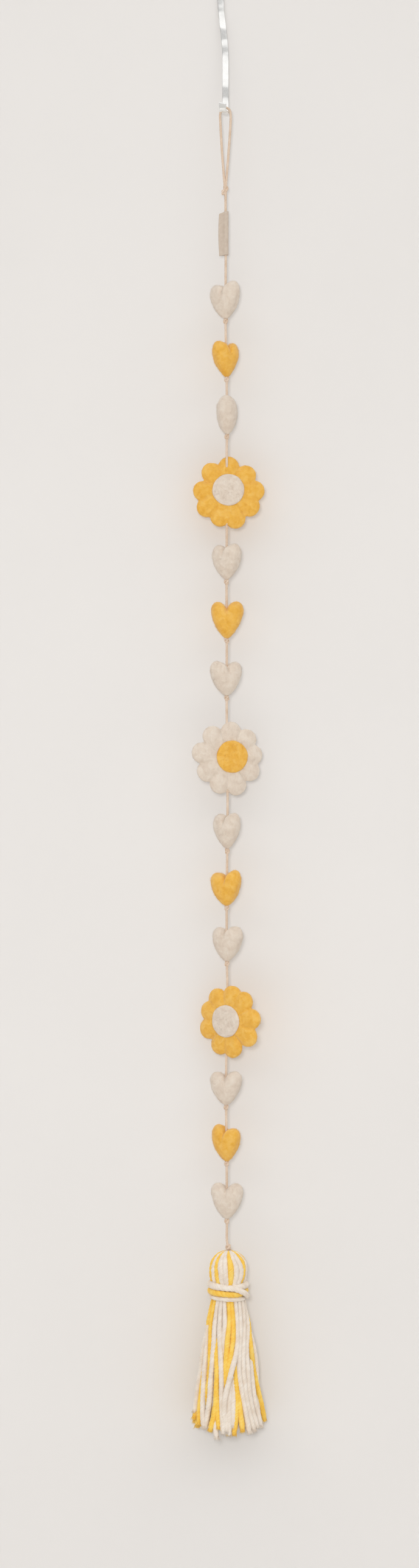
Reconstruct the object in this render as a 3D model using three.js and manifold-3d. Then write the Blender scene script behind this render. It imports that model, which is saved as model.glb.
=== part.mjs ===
// Felt heart garland hanging from an over-door hook.
//
// Millimetres, +Z up, +X to the viewer's right, and the front faces -Y. The origin is the middle of the
// saddle's flat underside, where the hook rests on the top of a door. "drop" is a distance below that plane.
//
// One waxed cord carries everything: a loop over the hook, a folded label, twelve felt hearts that sit on
// knots, three felt flowers and a yarn tassel.

import * as THREE from 'three';
import { mergeVertices } from 'three/addons/utils/BufferGeometryUtils.js';
import Module from 'manifold-3d';

const wasm = await Module();
wasm.setup();

// Driving dimensions

const GAP = 0.3;                   // kept between pieces that touch
const SMALLEST_EDGE = 0.05;        // shorter edges are merged where many parts meet

const DOOR_GAP = 36;               // inside width of the saddle, for a 35 mm door
const STRIP = { width: 5, thick: 1.8 };
const SADDLE_BEND = 3.9;           // centreline radius of the saddle's corners
const TAIL_DROP = 42;              // how far the back tail hangs behind the door
const TAIL_FLARE = 1.6;            // how far its end stands off, so that it slides over the door's edge
const HOOK_DROP = 150.4;           // underside of the small hook at the bottom
const HOOK_INSIDE = 7;             // inside width of the small hook
const TIP_RISE = 7.4;              // height of the hook's tip above its underside

// The hook's tip leans forward, stands to the left from one distance forward to the next, and is cut aslant.
const TIP = { forward: 0.6, aside: -2.2, bent: [37.8, 40.4], wider: 1.14, cut: 0.28 };
const STAND_OFF = 37;              // from the door's mid-plane forward to the hanging cord

// How the front strip wanders sideways, each step between two drops.
const SWAY = { left: -0.6, leftBy: [28, 54], right: 3, rightBy: [58, 106] };

const CORD_R = 1;
const CORD_SIDES = 8;
const KNOT = { half: 2.15, tall: 2.1, around: 7, rings: 4 };
const STITCH = { radius: 1.6, up: 0.4, forward: 1.2 };   // a small knot in a heart's notch

const HEART = { width: 24.6, thick: 16, thinTip: 0.8, around: 24, rings: 6 };

// Shape of a lobe's outline as parts of its height and half width: inner and outer shoulder, widest point,
// and the pull of the flank above and below.
const LOBE = {
  inner: { out: 0.2, up: 1.1 }, outer: { out: 1.04, up: 1.12 }, widest: 0.74,
  flank: { out: 0.92, up: 0.5 }, tip: { out: 0.38 },
};

// How a heart swells: where its fullest point is, as parts of the notch's height, and how round and how
// square its rings are.
const SWELL = { at: 0.69, reach: 0.49, round: 0.6, square: 0.72 };

const FLOWER = { thick: 7, petalR: 7.8, floor: 18 };
const MIDDLE = { radius: 12.1, rise: 2.6, around: 24 };

const LABEL = {
  top: 224, long: 33, flap: 5.6, fold: 2.15, opens: 1.95, ply: 1.7,
  narrower: 0.23, sagAbove: 2.0, sagBelow: 0.7, bow: 0.5,
};

const TASSEL = { x: 5.2, top: 1010.2, neckTop: 1032.7, neckEnd: 1046.5, hem: 1139.5 };
const HEAD = { radius: 13.6, neck: 10.8, ribs: 18, ribDeep: 0.5 };
const YARN_R = 2.05;               // corner radius of a four-sided yarn

const CREAM = 0xdcd0be;
const OCHRE = 0xe6b041;

// Small helpers

const vec = (x, y, z) => new THREE.Vector3(x, y, z);
const radians = THREE.MathUtils.degToRad;

// A repeatable random source, so that the yarns are uneven in the same way each time.
function randomSource(seed) {
  let state = seed;
  return () => {
    state = (state * 1664525 + 1013904223) % 4294967296;
    return state / 4294967296;
  };
}

function solidOf(geometry) {
  const bare = geometry.clone();
  bare.deleteAttribute('normal');
  bare.deleteAttribute('uv');
  const merged = mergeVertices(bare, 1e-4);
  return new wasm.Manifold(new wasm.Mesh({
    numProp: 3,
    vertProperties: Float32Array.from(merged.attributes.position.array),
    triVerts: Uint32Array.from(merged.index.array),
  }));
}

function geometryOf(solid) {
  const mesh = solid.getMesh();
  const geometry = new THREE.BufferGeometry();
  geometry.setAttribute('position', new THREE.BufferAttribute(Float32Array.from(mesh.vertProperties), 3));
  geometry.setIndex(new THREE.BufferAttribute(Uint32Array.from(mesh.triVerts), 1));
  geometry.computeVertexNormals();
  return geometry;
}

const joined = (solids) => solids.reduce((sum, solid) => sum.add(solid));

// The outer body of a solid, without the small hollows that are shut in where its parts meet.
function withoutHollows(solid) {
  return solid.decompose().reduce((largest, part) => (part.volume() > largest.volume() ? part : largest));
}

// Moves every vertex of a geometry by a function of its position.
function reshaped(geometry, move) {
  const position = geometry.attributes.position;
  const point = new THREE.Vector3();
  for (let i = 0; i < position.count; i += 1) {
    point.fromBufferAttribute(position, i);
    move(point);
    position.setXYZ(i, point.x, point.y, point.z);
  }
  return geometry;
}

function polygon(sides, radius) {
  const corner = (k) => {
    const turn = ((k + 0.5) / sides) * Math.PI * 2;
    return new THREE.Vector2(Math.cos(turn) * radius, Math.sin(turn) * radius);
  };
  return new THREE.Shape(Array.from({ length: sides }, (_, k) => corner(k)));
}

// A smooth curve that is cut into steps at its own points, so that a straight stretch needs none between.
class StationCurve extends THREE.CatmullRomCurve3 {
  getPointAt(part, target) {
    return this.getPoint(part, target);
  }

  getTangentAt(part, target) {
    return this.getTangent(part, target);
  }
}

// A solid tube through the points, with some number of steps from each point to the next.
function tube(points, radius, sides = CORD_SIDES, stepsBetween = 1) {
  const path = new StationCurve(points, false, 'centripetal');
  return solidOf(new THREE.ExtrudeGeometry(polygon(sides, radius), {
    steps: (points.length - 1) * stepsBetween, bevelEnabled: false, extrudePath: path,
  }));
}

function lump(centre, half, tall) {
  const geometry = new THREE.SphereGeometry(1, KNOT.around, KNOT.rings);
  geometry.rotateX(Math.PI / 2);
  geometry.rotateZ(centre.z);
  geometry.scale(half, half, tall);
  geometry.translate(centre.x, centre.y, centre.z);
  return solidOf(geometry);
}

// The hook: one strip bent over the door, waved down its front and turned up at its foot

const FRONT_Y = -(DOOR_GAP + STRIP.thick) / 2;
const FOOT_R = (HOOK_INSIDE + STRIP.thick) / 2;
const FOOT_Z = -HOOK_DROP + STRIP.thick + HOOK_INSIDE / 2;

// Side view of the front strip from the saddle down to the foot: forward distance and drop.
const FRONT_WAVES = [
  { forward: 18.9, drop: 6 },
  { forward: 18.9, drop: 40 },
  { forward: 19.4, drop: 62 },
  { forward: 22.6, drop: 80 },
  { forward: 24.2, drop: 98 },
  { forward: 28.9, drop: 116 },
  { forward: 31.0, drop: 130 },
  { forward: STAND_OFF - FOOT_R, drop: -FOOT_Z },
];

function stripCentreline() {
  const path = new THREE.CurvePath();
  const corner = DOOR_GAP / 2 + STRIP.thick / 2 - SADDLE_BEND;
  const level = STRIP.thick / 2;
  const bendZ = level - SADDLE_BEND;
  const at = (y, z) => new THREE.Vector2(y, z);
  path.add(new THREE.SplineCurve([
    at(-FRONT_Y + TAIL_FLARE, -TAIL_DROP), at(-FRONT_Y + TAIL_FLARE / 5, -TAIL_DROP * 0.8),
    at(-FRONT_Y, -TAIL_DROP / 2), at(-FRONT_Y, bendZ),
  ]));
  path.add(new THREE.EllipseCurve(corner, bendZ, SADDLE_BEND, SADDLE_BEND, 0, Math.PI / 2, false));
  path.add(new THREE.LineCurve(at(corner, level), at(-corner, level)));
  path.add(new THREE.EllipseCurve(-corner, bendZ, SADDLE_BEND, SADDLE_BEND, Math.PI / 2, Math.PI, false));
  path.add(new THREE.SplineCurve([at(FRONT_Y, bendZ), ...FRONT_WAVES.map((w) => at(-w.forward, -w.drop))]));
  path.add(new THREE.EllipseCurve(-STAND_OFF, FOOT_Z, FOOT_R, FOOT_R, 0, -Math.PI, true));
  const tipZ = -HOOK_DROP + TIP_RISE;
  path.add(new THREE.LineCurve(at(-STAND_OFF - FOOT_R, FOOT_Z), at(-STAND_OFF - FOOT_R - TIP.forward, tipZ)));
  return path;
}

// How far the strip wanders sideways: it comes back to the middle of the saddle above and stands right at
// its foot.
function stripSway(y, z) {
  const down = THREE.MathUtils.smoothstep(-z, ...SWAY.leftBy);
  const foot = THREE.MathUtils.smoothstep(-z, ...SWAY.rightBy);
  return y < -DOOR_GAP / 2 ? SWAY.left * down * (1 - foot) + SWAY.right * foot : 0;
}

function hookGeometry() {
  const stepsOfCurve = [4, 4, 2, 4, 22, 9, 1];
  const centre = stripCentreline().curves.flatMap((curve, i) => (
    curve.getSpacedPoints(stepsOfCurve[i]).slice(i === 0 ? 0 : 1)
  ));
  const steps = centre.length - 1;
  const geometry = new THREE.BoxGeometry(STRIP.width, STRIP.thick, steps, 1, 1, steps);
  return geometryOf(solidOf(reshaped(geometry, (point) => {
    const station = Math.round(point.z + steps / 2);
    const { x: y, y: z } = centre[station];
    const before = centre[Math.max(station - 1, 0)];
    const after = centre[Math.min(station + 1, steps)];
    const along = after.clone().sub(before).normalize();
    const { x: beside, y: across } = point;
    const tip = THREE.MathUtils.smoothstep(-y, ...TIP.bent);
    const x = beside * (1 + (TIP.wider - 1) * tip) + stripSway(y, z) + TIP.aside * tip;
    const cut = station === steps ? TIP.cut * beside : 0;
    point.set(x, y + along.y * across, z - along.x * across - cut);
  })));
}

// The hearts, from the top down. tip is the drop of the lower point; left, right and notch are heights
// above it; wide scales the width; turn is about the cord, positive to the viewer's right; sway shifts the
// lobes sideways.
const HEARTS = [
  { felt: 'cream', tip: 305.4, left: 25.3, right: 28.1, notch: 21.4, wide: 1, turn: -31, sway: -0.8 },
  { felt: 'yellow', tip: 349.6, left: 26.7, right: 25.4, notch: 21.9, wide: 0.86, turn: 27, sway: -1.3 },
  { felt: 'cream', tip: 392.8, left: 28.7, right: 26.9, notch: 22.4, wide: 1, turn: 86, sway: 0 },
  { felt: 'cream', tip: 502.6, left: 25.6, right: 26.5, notch: 21.2, wide: 0.98, turn: -33, sway: 0.2 },
  { felt: 'yellow', tip: 546.9, left: 27.1, right: 27.4, notch: 21.2, wide: 1, turn: -4, sway: 0.3 },
  { felt: 'cream', tip: 590.6, left: 25.8, right: 25.4, notch: 20.8, wide: 1, turn: 13, sway: -0.7 },
  { felt: 'cream', tip: 706.1, left: 25.8, right: 26.7, notch: 21.6, wide: 0.9, turn: -33, sway: -0.2 },
  { felt: 'yellow', tip: 749.1, left: 24.6, right: 26.9, notch: 19.4, wide: 1, turn: -24, sway: -0.7 },
  { felt: 'cream', tip: 791.2, left: 25.1, right: 26.2, notch: 20.8, wide: 1, turn: -28, sway: 0.8 },
  { felt: 'cream', tip: 899.8, left: 24.4, right: 25.3, notch: 19.6, wide: 1, turn: -15, sway: -0.1 },
  { felt: 'yellow', tip: 942.5, left: 27.6, right: 24.8, notch: 21.2, wide: 0.96, turn: -33, sway: -0.6 },
  { felt: 'cream', tip: 986.0, left: 26.9, right: 26.5, notch: 21.6, wide: 1, turn: -12, sway: 0.2 },
];

// The small stitch knots that show in some hearts' notches: the heart's number and the knot's place aside.
const STITCHES = [
  { heart: 4, aside: -1.4 }, { heart: 6, aside: 0 }, { heart: 9, aside: -1.2 },
  { heart: 10, aside: -1.0 }, { heart: 12, aside: -0.7 },
];

// The flowers, from the top down. drop is that of the flower's centre; across is its centre's place beside
// the cord, along its own face; back is its centre's place behind the cord; turn is as for the hearts;
// lean tips its top away from the viewer. The middle is set off by offX and offZ. Each petal points at an
// angle from the viewer's right, anticlockwise, and reaches so far from the centre.
const FLOWERS = [
  {
    felt: 'yellow', middle: 'cream', drop: 436.1,
    across: 1.4, back: 2.3, turn: 0, lean: 5, offX: -0.2, offZ: 1.4,
    petals: [
      { at: 90, reach: 27.3 }, { at: 131, reach: 27.6 }, { at: 177, reach: 27.1 },
      { at: 214, reach: 27.8 }, { at: 251, reach: 27.2 }, { at: 284, reach: 28.2 },
      { at: 326, reach: 26.8 }, { at: 3, reach: 27.2 }, { at: 45, reach: 25.9 },
    ],
  },
  {
    felt: 'cream', middle: 'yellow', drop: 637.6,
    across: 0.3, back: 0, turn: 14, lean: 0, offX: 2.6, offZ: 1.3,
    petals: [
      { at: 83, reach: 28.0 }, { at: 125, reach: 28.2 }, { at: 168, reach: 28.4 },
      { at: 211, reach: 26.6 }, { at: 252, reach: 27.6 }, { at: 288, reach: 29.0 },
      { at: 331, reach: 27.4 }, { at: 8, reach: 27.2 }, { at: 45, reach: 28.2 },
    ],
  },
  {
    felt: 'yellow', middle: 'cream', drop: 836.3,
    across: 2.7, back: 0, turn: -33, lean: 0, offX: -1.0, offZ: 0.4,
    petals: [
      { at: 83, reach: 27.3 }, { at: 122, reach: 27.6 }, { at: 158, reach: 26.6 },
      { at: 198, reach: 27.2 }, { at: 245, reach: 27.2 }, { at: 279, reach: 27.7 },
      { at: 327, reach: 27.6 }, { at: 7, reach: 27.5 }, { at: 50, reach: 27.4 },
    ],
  },
];

// The cord's route below its loop, knot to knot. Each knot closes one stretch, and bends are the points
// in between: sideways place x, distance back behind the hanging line, and drop.
const KNOT_BELOW_TIP = 1.4;         // the knots sit up in the hearts' tips

const heartKnot = (number, x) => ({
  x, drop: HEARTS[number - 1].tip + KNOT_BELOW_TIP, half: KNOT.half, tall: KNOT.tall, bends: [],
});

const LOOP_KNOT = { x: 3.1, drop: 206.6, half: 2.3, tall: 2.5, bends: [] };
const TURNED_END = { x: 1.5, drop: 209.6, half: 1.9, tall: 2.1 };

const SPINE = [
  LOOP_KNOT,
  { ...heartKnot(1, 3.1), bends: [{ x: 3.2, back: 0, drop: 260 }] },
  heartKnot(2, 3.9),
  heartKnot(3, 4.1),
  {
    x: 4.0, drop: 459.6, half: 1.6, tall: 1.5,
    bends: [
      { x: 3.9, back: 0, drop: 406 }, { x: 4.0, back: -0.1, drop: 414.5 }, { x: 4.1, back: 2.5, drop: 420 },
      { x: 4.3, back: 3.0, drop: 436 }, { x: 4.0, back: 1.3, drop: 450 },
    ],
  },
  heartKnot(4, 3.8),
  heartKnot(5, 4.0),
  heartKnot(6, 3.9),
  {
    x: 4.6, drop: 661.4, half: 1.8, tall: 2.2,
    bends: [{ x: 4.0, back: 0, drop: 609 }, { x: 4.2, back: 0, drop: 640 }],
  },
  heartKnot(7, 4.3),
  heartKnot(8, 3.9),
  heartKnot(9, 4.1),
  {
    x: 3.6, drop: 858.4, half: 1.6, tall: 1.5,
    bends: [{ x: 4.4, back: 0, drop: 811 }, { x: 4.1, back: 0, drop: 836 }],
  },
  heartKnot(10, 3.5),
  heartKnot(11, 3.9),
  heartKnot(12, 4.1),
  { x: 5.2, drop: 1007.1, half: 2.5, tall: 2.4, bends: [{ x: 4.2, back: 0, drop: 1003 }] },
];

const CORD_END = { x: 5.2, drop: 1016 };

const hangingPoint = (p) => vec(p.x, -STAND_OFF + (p.back ?? 0), -p.drop);

// Place of the cord beside the middle of the frame at some drop, between the two knots around it.
function cordXAt(drop) {
  const below = SPINE.findIndex((knot) => knot.drop >= drop);
  const lower = SPINE[below];
  const upper = SPINE[below - 1];
  return THREE.MathUtils.mapLinear(drop, upper.drop, lower.drop, upper.x, lower.x);
}

// The loop lies over the foot of the hook: up on the left, across, and down on the right.
const LOOP = [
  { x: 2.6, drop: 206 }, { x: 1.7, drop: 196 }, { x: 0.2, drop: 176 }, { x: -0.7, drop: 160 },
  { x: -0.95, drop: 150.5 }, { x: 0.2, drop: 146.9 }, { x: 2.95, drop: 145.6 }, { x: 5.7, drop: 146.9 },
  { x: 6.85, drop: 150.5 }, { x: 6.7, drop: 160 }, { x: 5.6, drop: 176 }, { x: 4.0, drop: 196 },
  { x: 3.2, drop: 206 },
];

function cordSolid(grow = 0) {
  const radius = CORD_R + grow;
  const spine = SPINE.flatMap((knot) => [...knot.bends, knot]);
  const end = { x: CORD_END.x, drop: CORD_END.drop + grow };
  const parts = [
    tube(LOOP.map(hangingPoint), radius, CORD_SIDES, 2),
    tube([...spine, end].map(hangingPoint), radius),
    ...[...SPINE, TURNED_END].map((knot) => (
      lump(hangingPoint(knot), knot.half + grow, knot.tall + grow)
    )),
  ];
  STITCHES.forEach(({ heart, aside }) => {
    const { tip, notch } = HEARTS[heart - 1];
    const drop = tip - notch - STITCH.up;
    const centre = vec(cordXAt(drop) + aside, -STAND_OFF - STITCH.forward, -drop);
    parts.push(lump(centre, STITCH.radius + grow, STITCH.radius + grow));
  });
  return joined(parts);
}

const cord = cordSolid().simplify(SMALLEST_EDGE);
const cordRoom = cordSolid(GAP);

// A heart as a solid of felt: a sphere whose equator is drawn out to the heart's outline

function heartOutline({ left, right, notch, wide, sway }) {
  const half = (HEART.width * wide) / 2;
  const at = (x, z) => new THREE.Vector2(x, z);
  const lobe = (side, top) => {
    const on = ({ out, up }, shift) => at(side * half * out + shift, top * up);
    const widest = at(side * half + sway, top * LOBE.widest);
    const over = new THREE.CubicBezierCurve(at(0, notch), on(LOBE.inner, 0), on(LOBE.outer, sway), widest);
    const flank = new THREE.CubicBezierCurve(
      widest, on(LOBE.flank, sway), at(side * half * LOBE.tip.out, 0), at(0, 0),
    );
    return [over, flank];
  };
  const quarter = HEART.around / 4;
  const [onRight, onLeft] = [lobe(1, right), lobe(-1, left)].map(([over, flank]) => (
    [...over.getSpacedPoints(quarter), ...flank.getSpacedPoints(quarter).slice(1)]
  ));
  return [...onRight, ...onLeft.slice(1, -1).reverse()];
}

// The rings nearer the front and the back are rounder than the outline, so the notch is only a short crease.
function heartGeometry(heart) {
  const outline = heartOutline(heart);
  const middle = new THREE.Vector2(heart.sway / 2, heart.notch * SWELL.at);
  const reach = HEART.width * heart.wide * SWELL.reach;
  const geometry = new THREE.SphereGeometry(1, HEART.around, HEART.rings);
  return reshaped(geometry, (point) => {
    const turn = Math.atan2(point.x, point.z);
    const place = Math.round((turn / (Math.PI * 2)) * HEART.around + HEART.around) % HEART.around;
    const edge = outline[place].clone().sub(middle);
    const full = Math.sqrt(Math.max(1 - point.y ** 2, 0));
    edge.lerp(edge.clone().setLength(reach), Math.abs(point.y) * SWELL.round);
    edge.multiplyScalar(full ** SWELL.square).add(middle);
    const taper = THREE.MathUtils.mapLinear(edge.y, 0, heart.notch, HEART.thinTip, 1);
    point.set(edge.x, point.y * (HEART.thick / 2) * taper, edge.y);
  });
}

function hungHeart(heart) {
  const geometry = heartGeometry(heart);
  geometry.rotateZ(radians(heart.turn));
  geometry.translate(cordXAt(heart.tip), -STAND_OFF, -heart.tip);
  return geometryOf(solidOf(geometry).subtract(cordRoom));
}

// A flower: nine round petals in one thick felt, drawn out from a flattened sphere

function petalReach(flower, angle) {
  const lobes = flower.petals.map((petal) => {
    const off = angle - radians(petal.at);
    const out = petal.reach - FLOWER.petalR;
    const inside = FLOWER.petalR ** 2 - (out * Math.sin(off)) ** 2;
    return Math.cos(off) > 0 && inside > 0 ? out * Math.cos(off) + Math.sqrt(inside) : 0;
  });
  return Math.max(...lobes, FLOWER.floor);
}

// Directions round the flower, as parts of the way from one petal's point over the valley to the next.
const PETAL_PARTS = [0, 0.24, 0.41, 0.5, 0.59, 0.76];

function flowerDirections(flower) {
  const places = flower.petals.map((petal) => radians((petal.at + 360) % 360)).sort((a, b) => a - b);
  return places.flatMap((from, i) => {
    const to = i + 1 < places.length ? places[i + 1] : places[0] + Math.PI * 2;
    return PETAL_PARTS.map((part) => from + (to - from) * part);
  });
}

// Rings from the front to the back of the felt: part of the reach, and part of the half thickness forward.
const FELT_RINGS = [
  { out: 0, thick: 1 }, { out: 0.9, thick: 1 }, { out: 1, thick: 0.45 },
  { out: 1, thick: -0.45 }, { out: 0.9, thick: -1 }, { out: 0, thick: -1 },
];

function flowerGeometry(flower) {
  const directions = flowerDirections(flower);
  const around = directions.length;
  const rings = FELT_RINGS.length - 1;
  const geometry = new THREE.SphereGeometry(1, around, rings);
  const position = geometry.attributes.position;
  for (let ring = 0; ring <= rings; ring += 1) {
    const { out, thick } = FELT_RINGS[ring];
    for (let k = 0; k <= around; k += 1) {
      const angle = directions[k % around];
      const radius = petalReach(flower, angle) * out;
      const y = (-thick * FLOWER.thick) / 2;
      position.setXYZ(ring * (around + 1) + k, Math.cos(angle) * radius, y, Math.sin(angle) * radius);
    }
  }
  return geometry;
}

function placeFlower(geometry, flower) {
  geometry.translate(flower.across, flower.back, 0);
  geometry.rotateX(-radians(flower.lean));
  geometry.rotateZ(radians(flower.turn));
  geometry.translate(cordXAt(flower.drop), -STAND_OFF, -flower.drop);
  return geometry;
}

// The middle's section, from its flat back to the crown of its dome.
const DOME = [
  { out: 0, up: 0 }, { out: 0.97, up: 0 }, { out: 1, up: 0.3 },
  { out: 0.9, up: 0.7 }, { out: 0.6, up: 0.94 }, { out: 0, up: 1 },
];

function middleGeometry(flower) {
  const base = FLOWER.thick / 2 + GAP;
  const points = DOME.map(({ out, up }) => new THREE.Vector2(out * MIDDLE.radius, up * MIDDLE.rise));
  const geometry = new THREE.LatheGeometry(points, MIDDLE.around);
  geometry.rotateX(Math.PI);
  geometry.translate(flower.offX, -base, flower.offZ);
  return geometry;
}

// The label: a tape folded round the cord at its right, its two ends together at its left

function labelGeometry() {
  const x = cordXAt(LABEL.top + LABEL.long / 2);
  const fold = new THREE.EllipseCurve(0, 0, LABEL.fold, LABEL.fold, -LABEL.opens, LABEL.opens);
  const half = LABEL.ply / 2;
  const ends = [new THREE.Vector2(-LABEL.fold - half / 2, half), new THREE.Vector2(-LABEL.flap, half * 0.8)];
  const ahead = ends.map((point) => new THREE.Vector2(point.x, -point.y)).reverse();
  const outline = new THREE.Shape([...fold.getPoints(8), ...ends, ...ahead]);
  const geometry = new THREE.ExtrudeGeometry(outline, { depth: LABEL.long, steps: 6, bevelEnabled: false });
  reshaped(geometry, (point) => {
    const along = point.z / LABEL.long;
    const free = Math.max(-point.x, 0) / LABEL.flap;
    point.x *= 1 - free * LABEL.narrower * (2 * along - 1.1) ** 2;
    point.z -= free * THREE.MathUtils.lerp(LABEL.sagBelow, LABEL.sagAbove, along);
    point.y += free * LABEL.bow * Math.sin(along * Math.PI);
  });
  geometry.translate(x, -STAND_OFF, -LABEL.top - LABEL.long);
  return geometryOf(solidOf(geometry).subtract(cordRoom));
}

// The tassel: a ribbed head of yarns over a neck, and a skirt of yarns that stand apart below it

const SKIRT = [
  { drop: 1043, out: 8.5, aside: 0 }, { drop: 1046.6, out: 8.7, aside: -0.1 },
  { drop: 1050, out: 12.2, aside: -1.1 }, { drop: 1058, out: 14.9, aside: -1.3 },
  { drop: 1080, out: 18.8, aside: -0.8 }, { drop: TASSEL.hem, out: 26.4, aside: 1.3 },
];

const SKIRT_ROUNDS = [
  { count: 23, share: 1 }, { count: 16, share: 0.75 }, { count: 9, share: 0.48 }, { count: 4, share: 0.22 },
];

const STRAYS = [{ yarn: 0, out: 4.4 }, { yarn: 12, out: 2.6 }];   // yarns whose ends stand out at the sides

function tasselHead() {
  const { top, neckTop, neckEnd } = TASSEL;
  const profile = [
    [0, neckEnd], [HEAD.neck, neckEnd], [HEAD.neck, neckTop + 0.6], [HEAD.radius * 0.95, neckTop - 3],
    [HEAD.radius, neckTop - 10], [HEAD.radius * 0.9, neckTop - 16], [HEAD.radius * 0.62, neckTop - 20.6],
    [HEAD.radius * 0.3, top + 0.4], [0, top],
  ];
  const points = profile.map(([r, drop]) => new THREE.Vector2(r, -drop));
  const geometry = new THREE.LatheGeometry(points, HEAD.ribs * 2);
  geometry.rotateX(Math.PI / 2);
  reshaped(geometry, (point) => {
    const turn = Math.atan2(point.y, point.x);
    const out = Math.hypot(point.x, point.y);
    const rib = out > HEAD.neck + 0.5 ? HEAD.ribDeep : HEAD.ribDeep * 0.5;
    const scale = out > 1 ? (out + rib * Math.cos(turn * HEAD.ribs)) / out : 1;
    point.x *= scale;
    point.y *= scale;
  });
  return solidOf(geometry);
}

function skirtYarn(start, share, strayOut, spread) {
  const drift = spread(0.05);
  const longer = spread(4.5) + 1.5;
  const points = SKIRT.map(({ drop, out, aside }, level) => {
    const part = level / (SKIRT.length - 1);
    const turn = start + drift * part + spread(0.035) * part;
    const radius = share * out + spread(0.5) * part + strayOut * part ** 3;
    const squash = Math.sin(turn) > 0 ? 0.93 : 1;
    const low = level === SKIRT.length - 1 ? longer : 0;
    return vec(Math.cos(turn) * radius + aside, Math.sin(turn) * radius * squash, -drop - low);
  });
  return tube(points, YARN_R, 4);
}

function tasselGeometry() {
  const random = randomSource(7);
  const spread = (size) => (random() * 2 - 1) * size;
  const yarns = SKIRT_ROUNDS.flatMap(({ count, share }, round) => (
    Array.from({ length: count }, (_, k) => {
      const start = ((k + 0.5 * (round % 2)) / count) * Math.PI * 2;
      const stray = round === 0 ? STRAYS.find(({ yarn }) => yarn === k) : undefined;
      return skirtYarn(start, share, stray ? stray.out : 0, spread);
    })
  ));
  const body = joined([tasselHead(), ...yarns]).translate([TASSEL.x, -STAND_OFF, 0]);
  return geometryOf(withoutHollows(body.subtract(cordRoom).simplify(SMALLEST_EDGE)));
}

// The binding: three turns round the neck, cream, yellow and cream; the cream yarn crosses over the
// yellow turn at the right

const TURN_PITCH = (TASSEL.neckEnd - TASSEL.neckTop) / 3;
const TURN_R = TURN_PITCH / 2 - GAP / 2;
const TURN_OUT = HEAD.neck + HEAD.ribDeep + GAP + TURN_R;

function turnOfYarn(number) {
  const drop = TASSEL.neckTop + TURN_PITCH * (number + 0.5);
  const section = new THREE.EllipseCurve(TURN_OUT, 0, TURN_R, TURN_R);
  const geometry = new THREE.LatheGeometry(section.getPoints(8), 20);
  geometry.rotateX(Math.PI / 2);
  geometry.translate(TASSEL.x, -STAND_OFF, -drop);
  return solidOf(geometry);
}

// The strand that crosses over, from the upper cream turn to the lower one: turn about the tassel, distance
// out beyond the turns, and how many turns down.
const CROSSING = [
  { turn: -62, out: 0.2, number: 0.2 }, { turn: -50, out: 2.2, number: 0.62 },
  { turn: -37, out: 3.0, number: 1.1 },
  { turn: -24, out: 2.2, number: 1.6 }, { turn: -10, out: 0.2, number: 2.0 },
];

function crossing(grow = 0) {
  const points = CROSSING.map(({ turn, out, number }) => {
    const radius = TURN_OUT + out;
    const angle = radians(turn);
    const drop = TASSEL.neckTop + TURN_PITCH * (number + 0.5);
    return vec(TASSEL.x + Math.cos(angle) * radius, -STAND_OFF + Math.sin(angle) * radius, -drop);
  });
  return tube(points, TURN_R * 0.85 + grow, 6, 2);
}

const bindingCream = () => geometryOf(joined([turnOfYarn(0), turnOfYarn(2), crossing()]));
const bindingYellow = () => geometryOf(turnOfYarn(1).subtract(crossing(GAP)));

// The whole garland

function material(color, roughness, metalness = 0) {
  return new THREE.MeshStandardMaterial({ color, roughness, metalness });
}

const FELTS = { cream: () => material(CREAM, 0.95), yellow: () => material(OCHRE, 0.95) };

const garland = new THREE.Group();

function addPiece(name, geometry, finish) {
  const piece = new THREE.Mesh(geometry, finish);
  piece.name = name;
  garland.add(piece);
}

addPiece('hook', hookGeometry(), material(0xb9bcbe, 0.25, 1));
addPiece('cord', geometryOf(cord), material(0xdfbf9f, 0.7));
addPiece('label', labelGeometry(), material(0xeadfce, 0.9));

HEARTS.forEach((heart, i) => {
  addPiece(`heart_${String(i + 1).padStart(2, '0')}`, hungHeart(heart), FELTS[heart.felt]());
});

FLOWERS.forEach((flower, i) => {
  const name = `flower_${i + 1}`;
  const petals = placeFlower(flowerGeometry(flower), flower);
  addPiece(name, geometryOf(solidOf(petals).subtract(cordRoom)), FELTS[flower.felt]());
  const middle = placeFlower(middleGeometry(flower), flower);
  addPiece(`${name}_middle`, geometryOf(solidOf(middle).subtract(cordRoom)), FELTS[flower.middle]());
});

addPiece('tassel', tasselGeometry(), material(0xe9e1d2, 0.9));
addPiece('binding_cream', bindingCream(), material(0xe9e1d2, 0.9));
addPiece('binding_yellow', bindingYellow(), material(0xefc560, 0.9));

export default garland;
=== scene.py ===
# %% [markdown]
# # A felt heart garland on an over-door hook
#
# One waxed cord carries the whole garland: a hanging loop, a folded label, twelve felt hearts, three felt
# flowers and a yarn tassel. The loop hangs from a bent steel hook that grips the top of a door.
#
# The solids come from the part's own source and are loaded first, as a fixed frame. Every piece is then built
# again here, in the same place and at the same size, with the detail that a plain solid leaves out. Lengths
# are in millimetres until a mesh is made, because felt and yarn are measured that way.

# %% The fixed frame
import math

import bmesh
import bpy
import numpy as np
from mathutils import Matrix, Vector, noise


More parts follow.
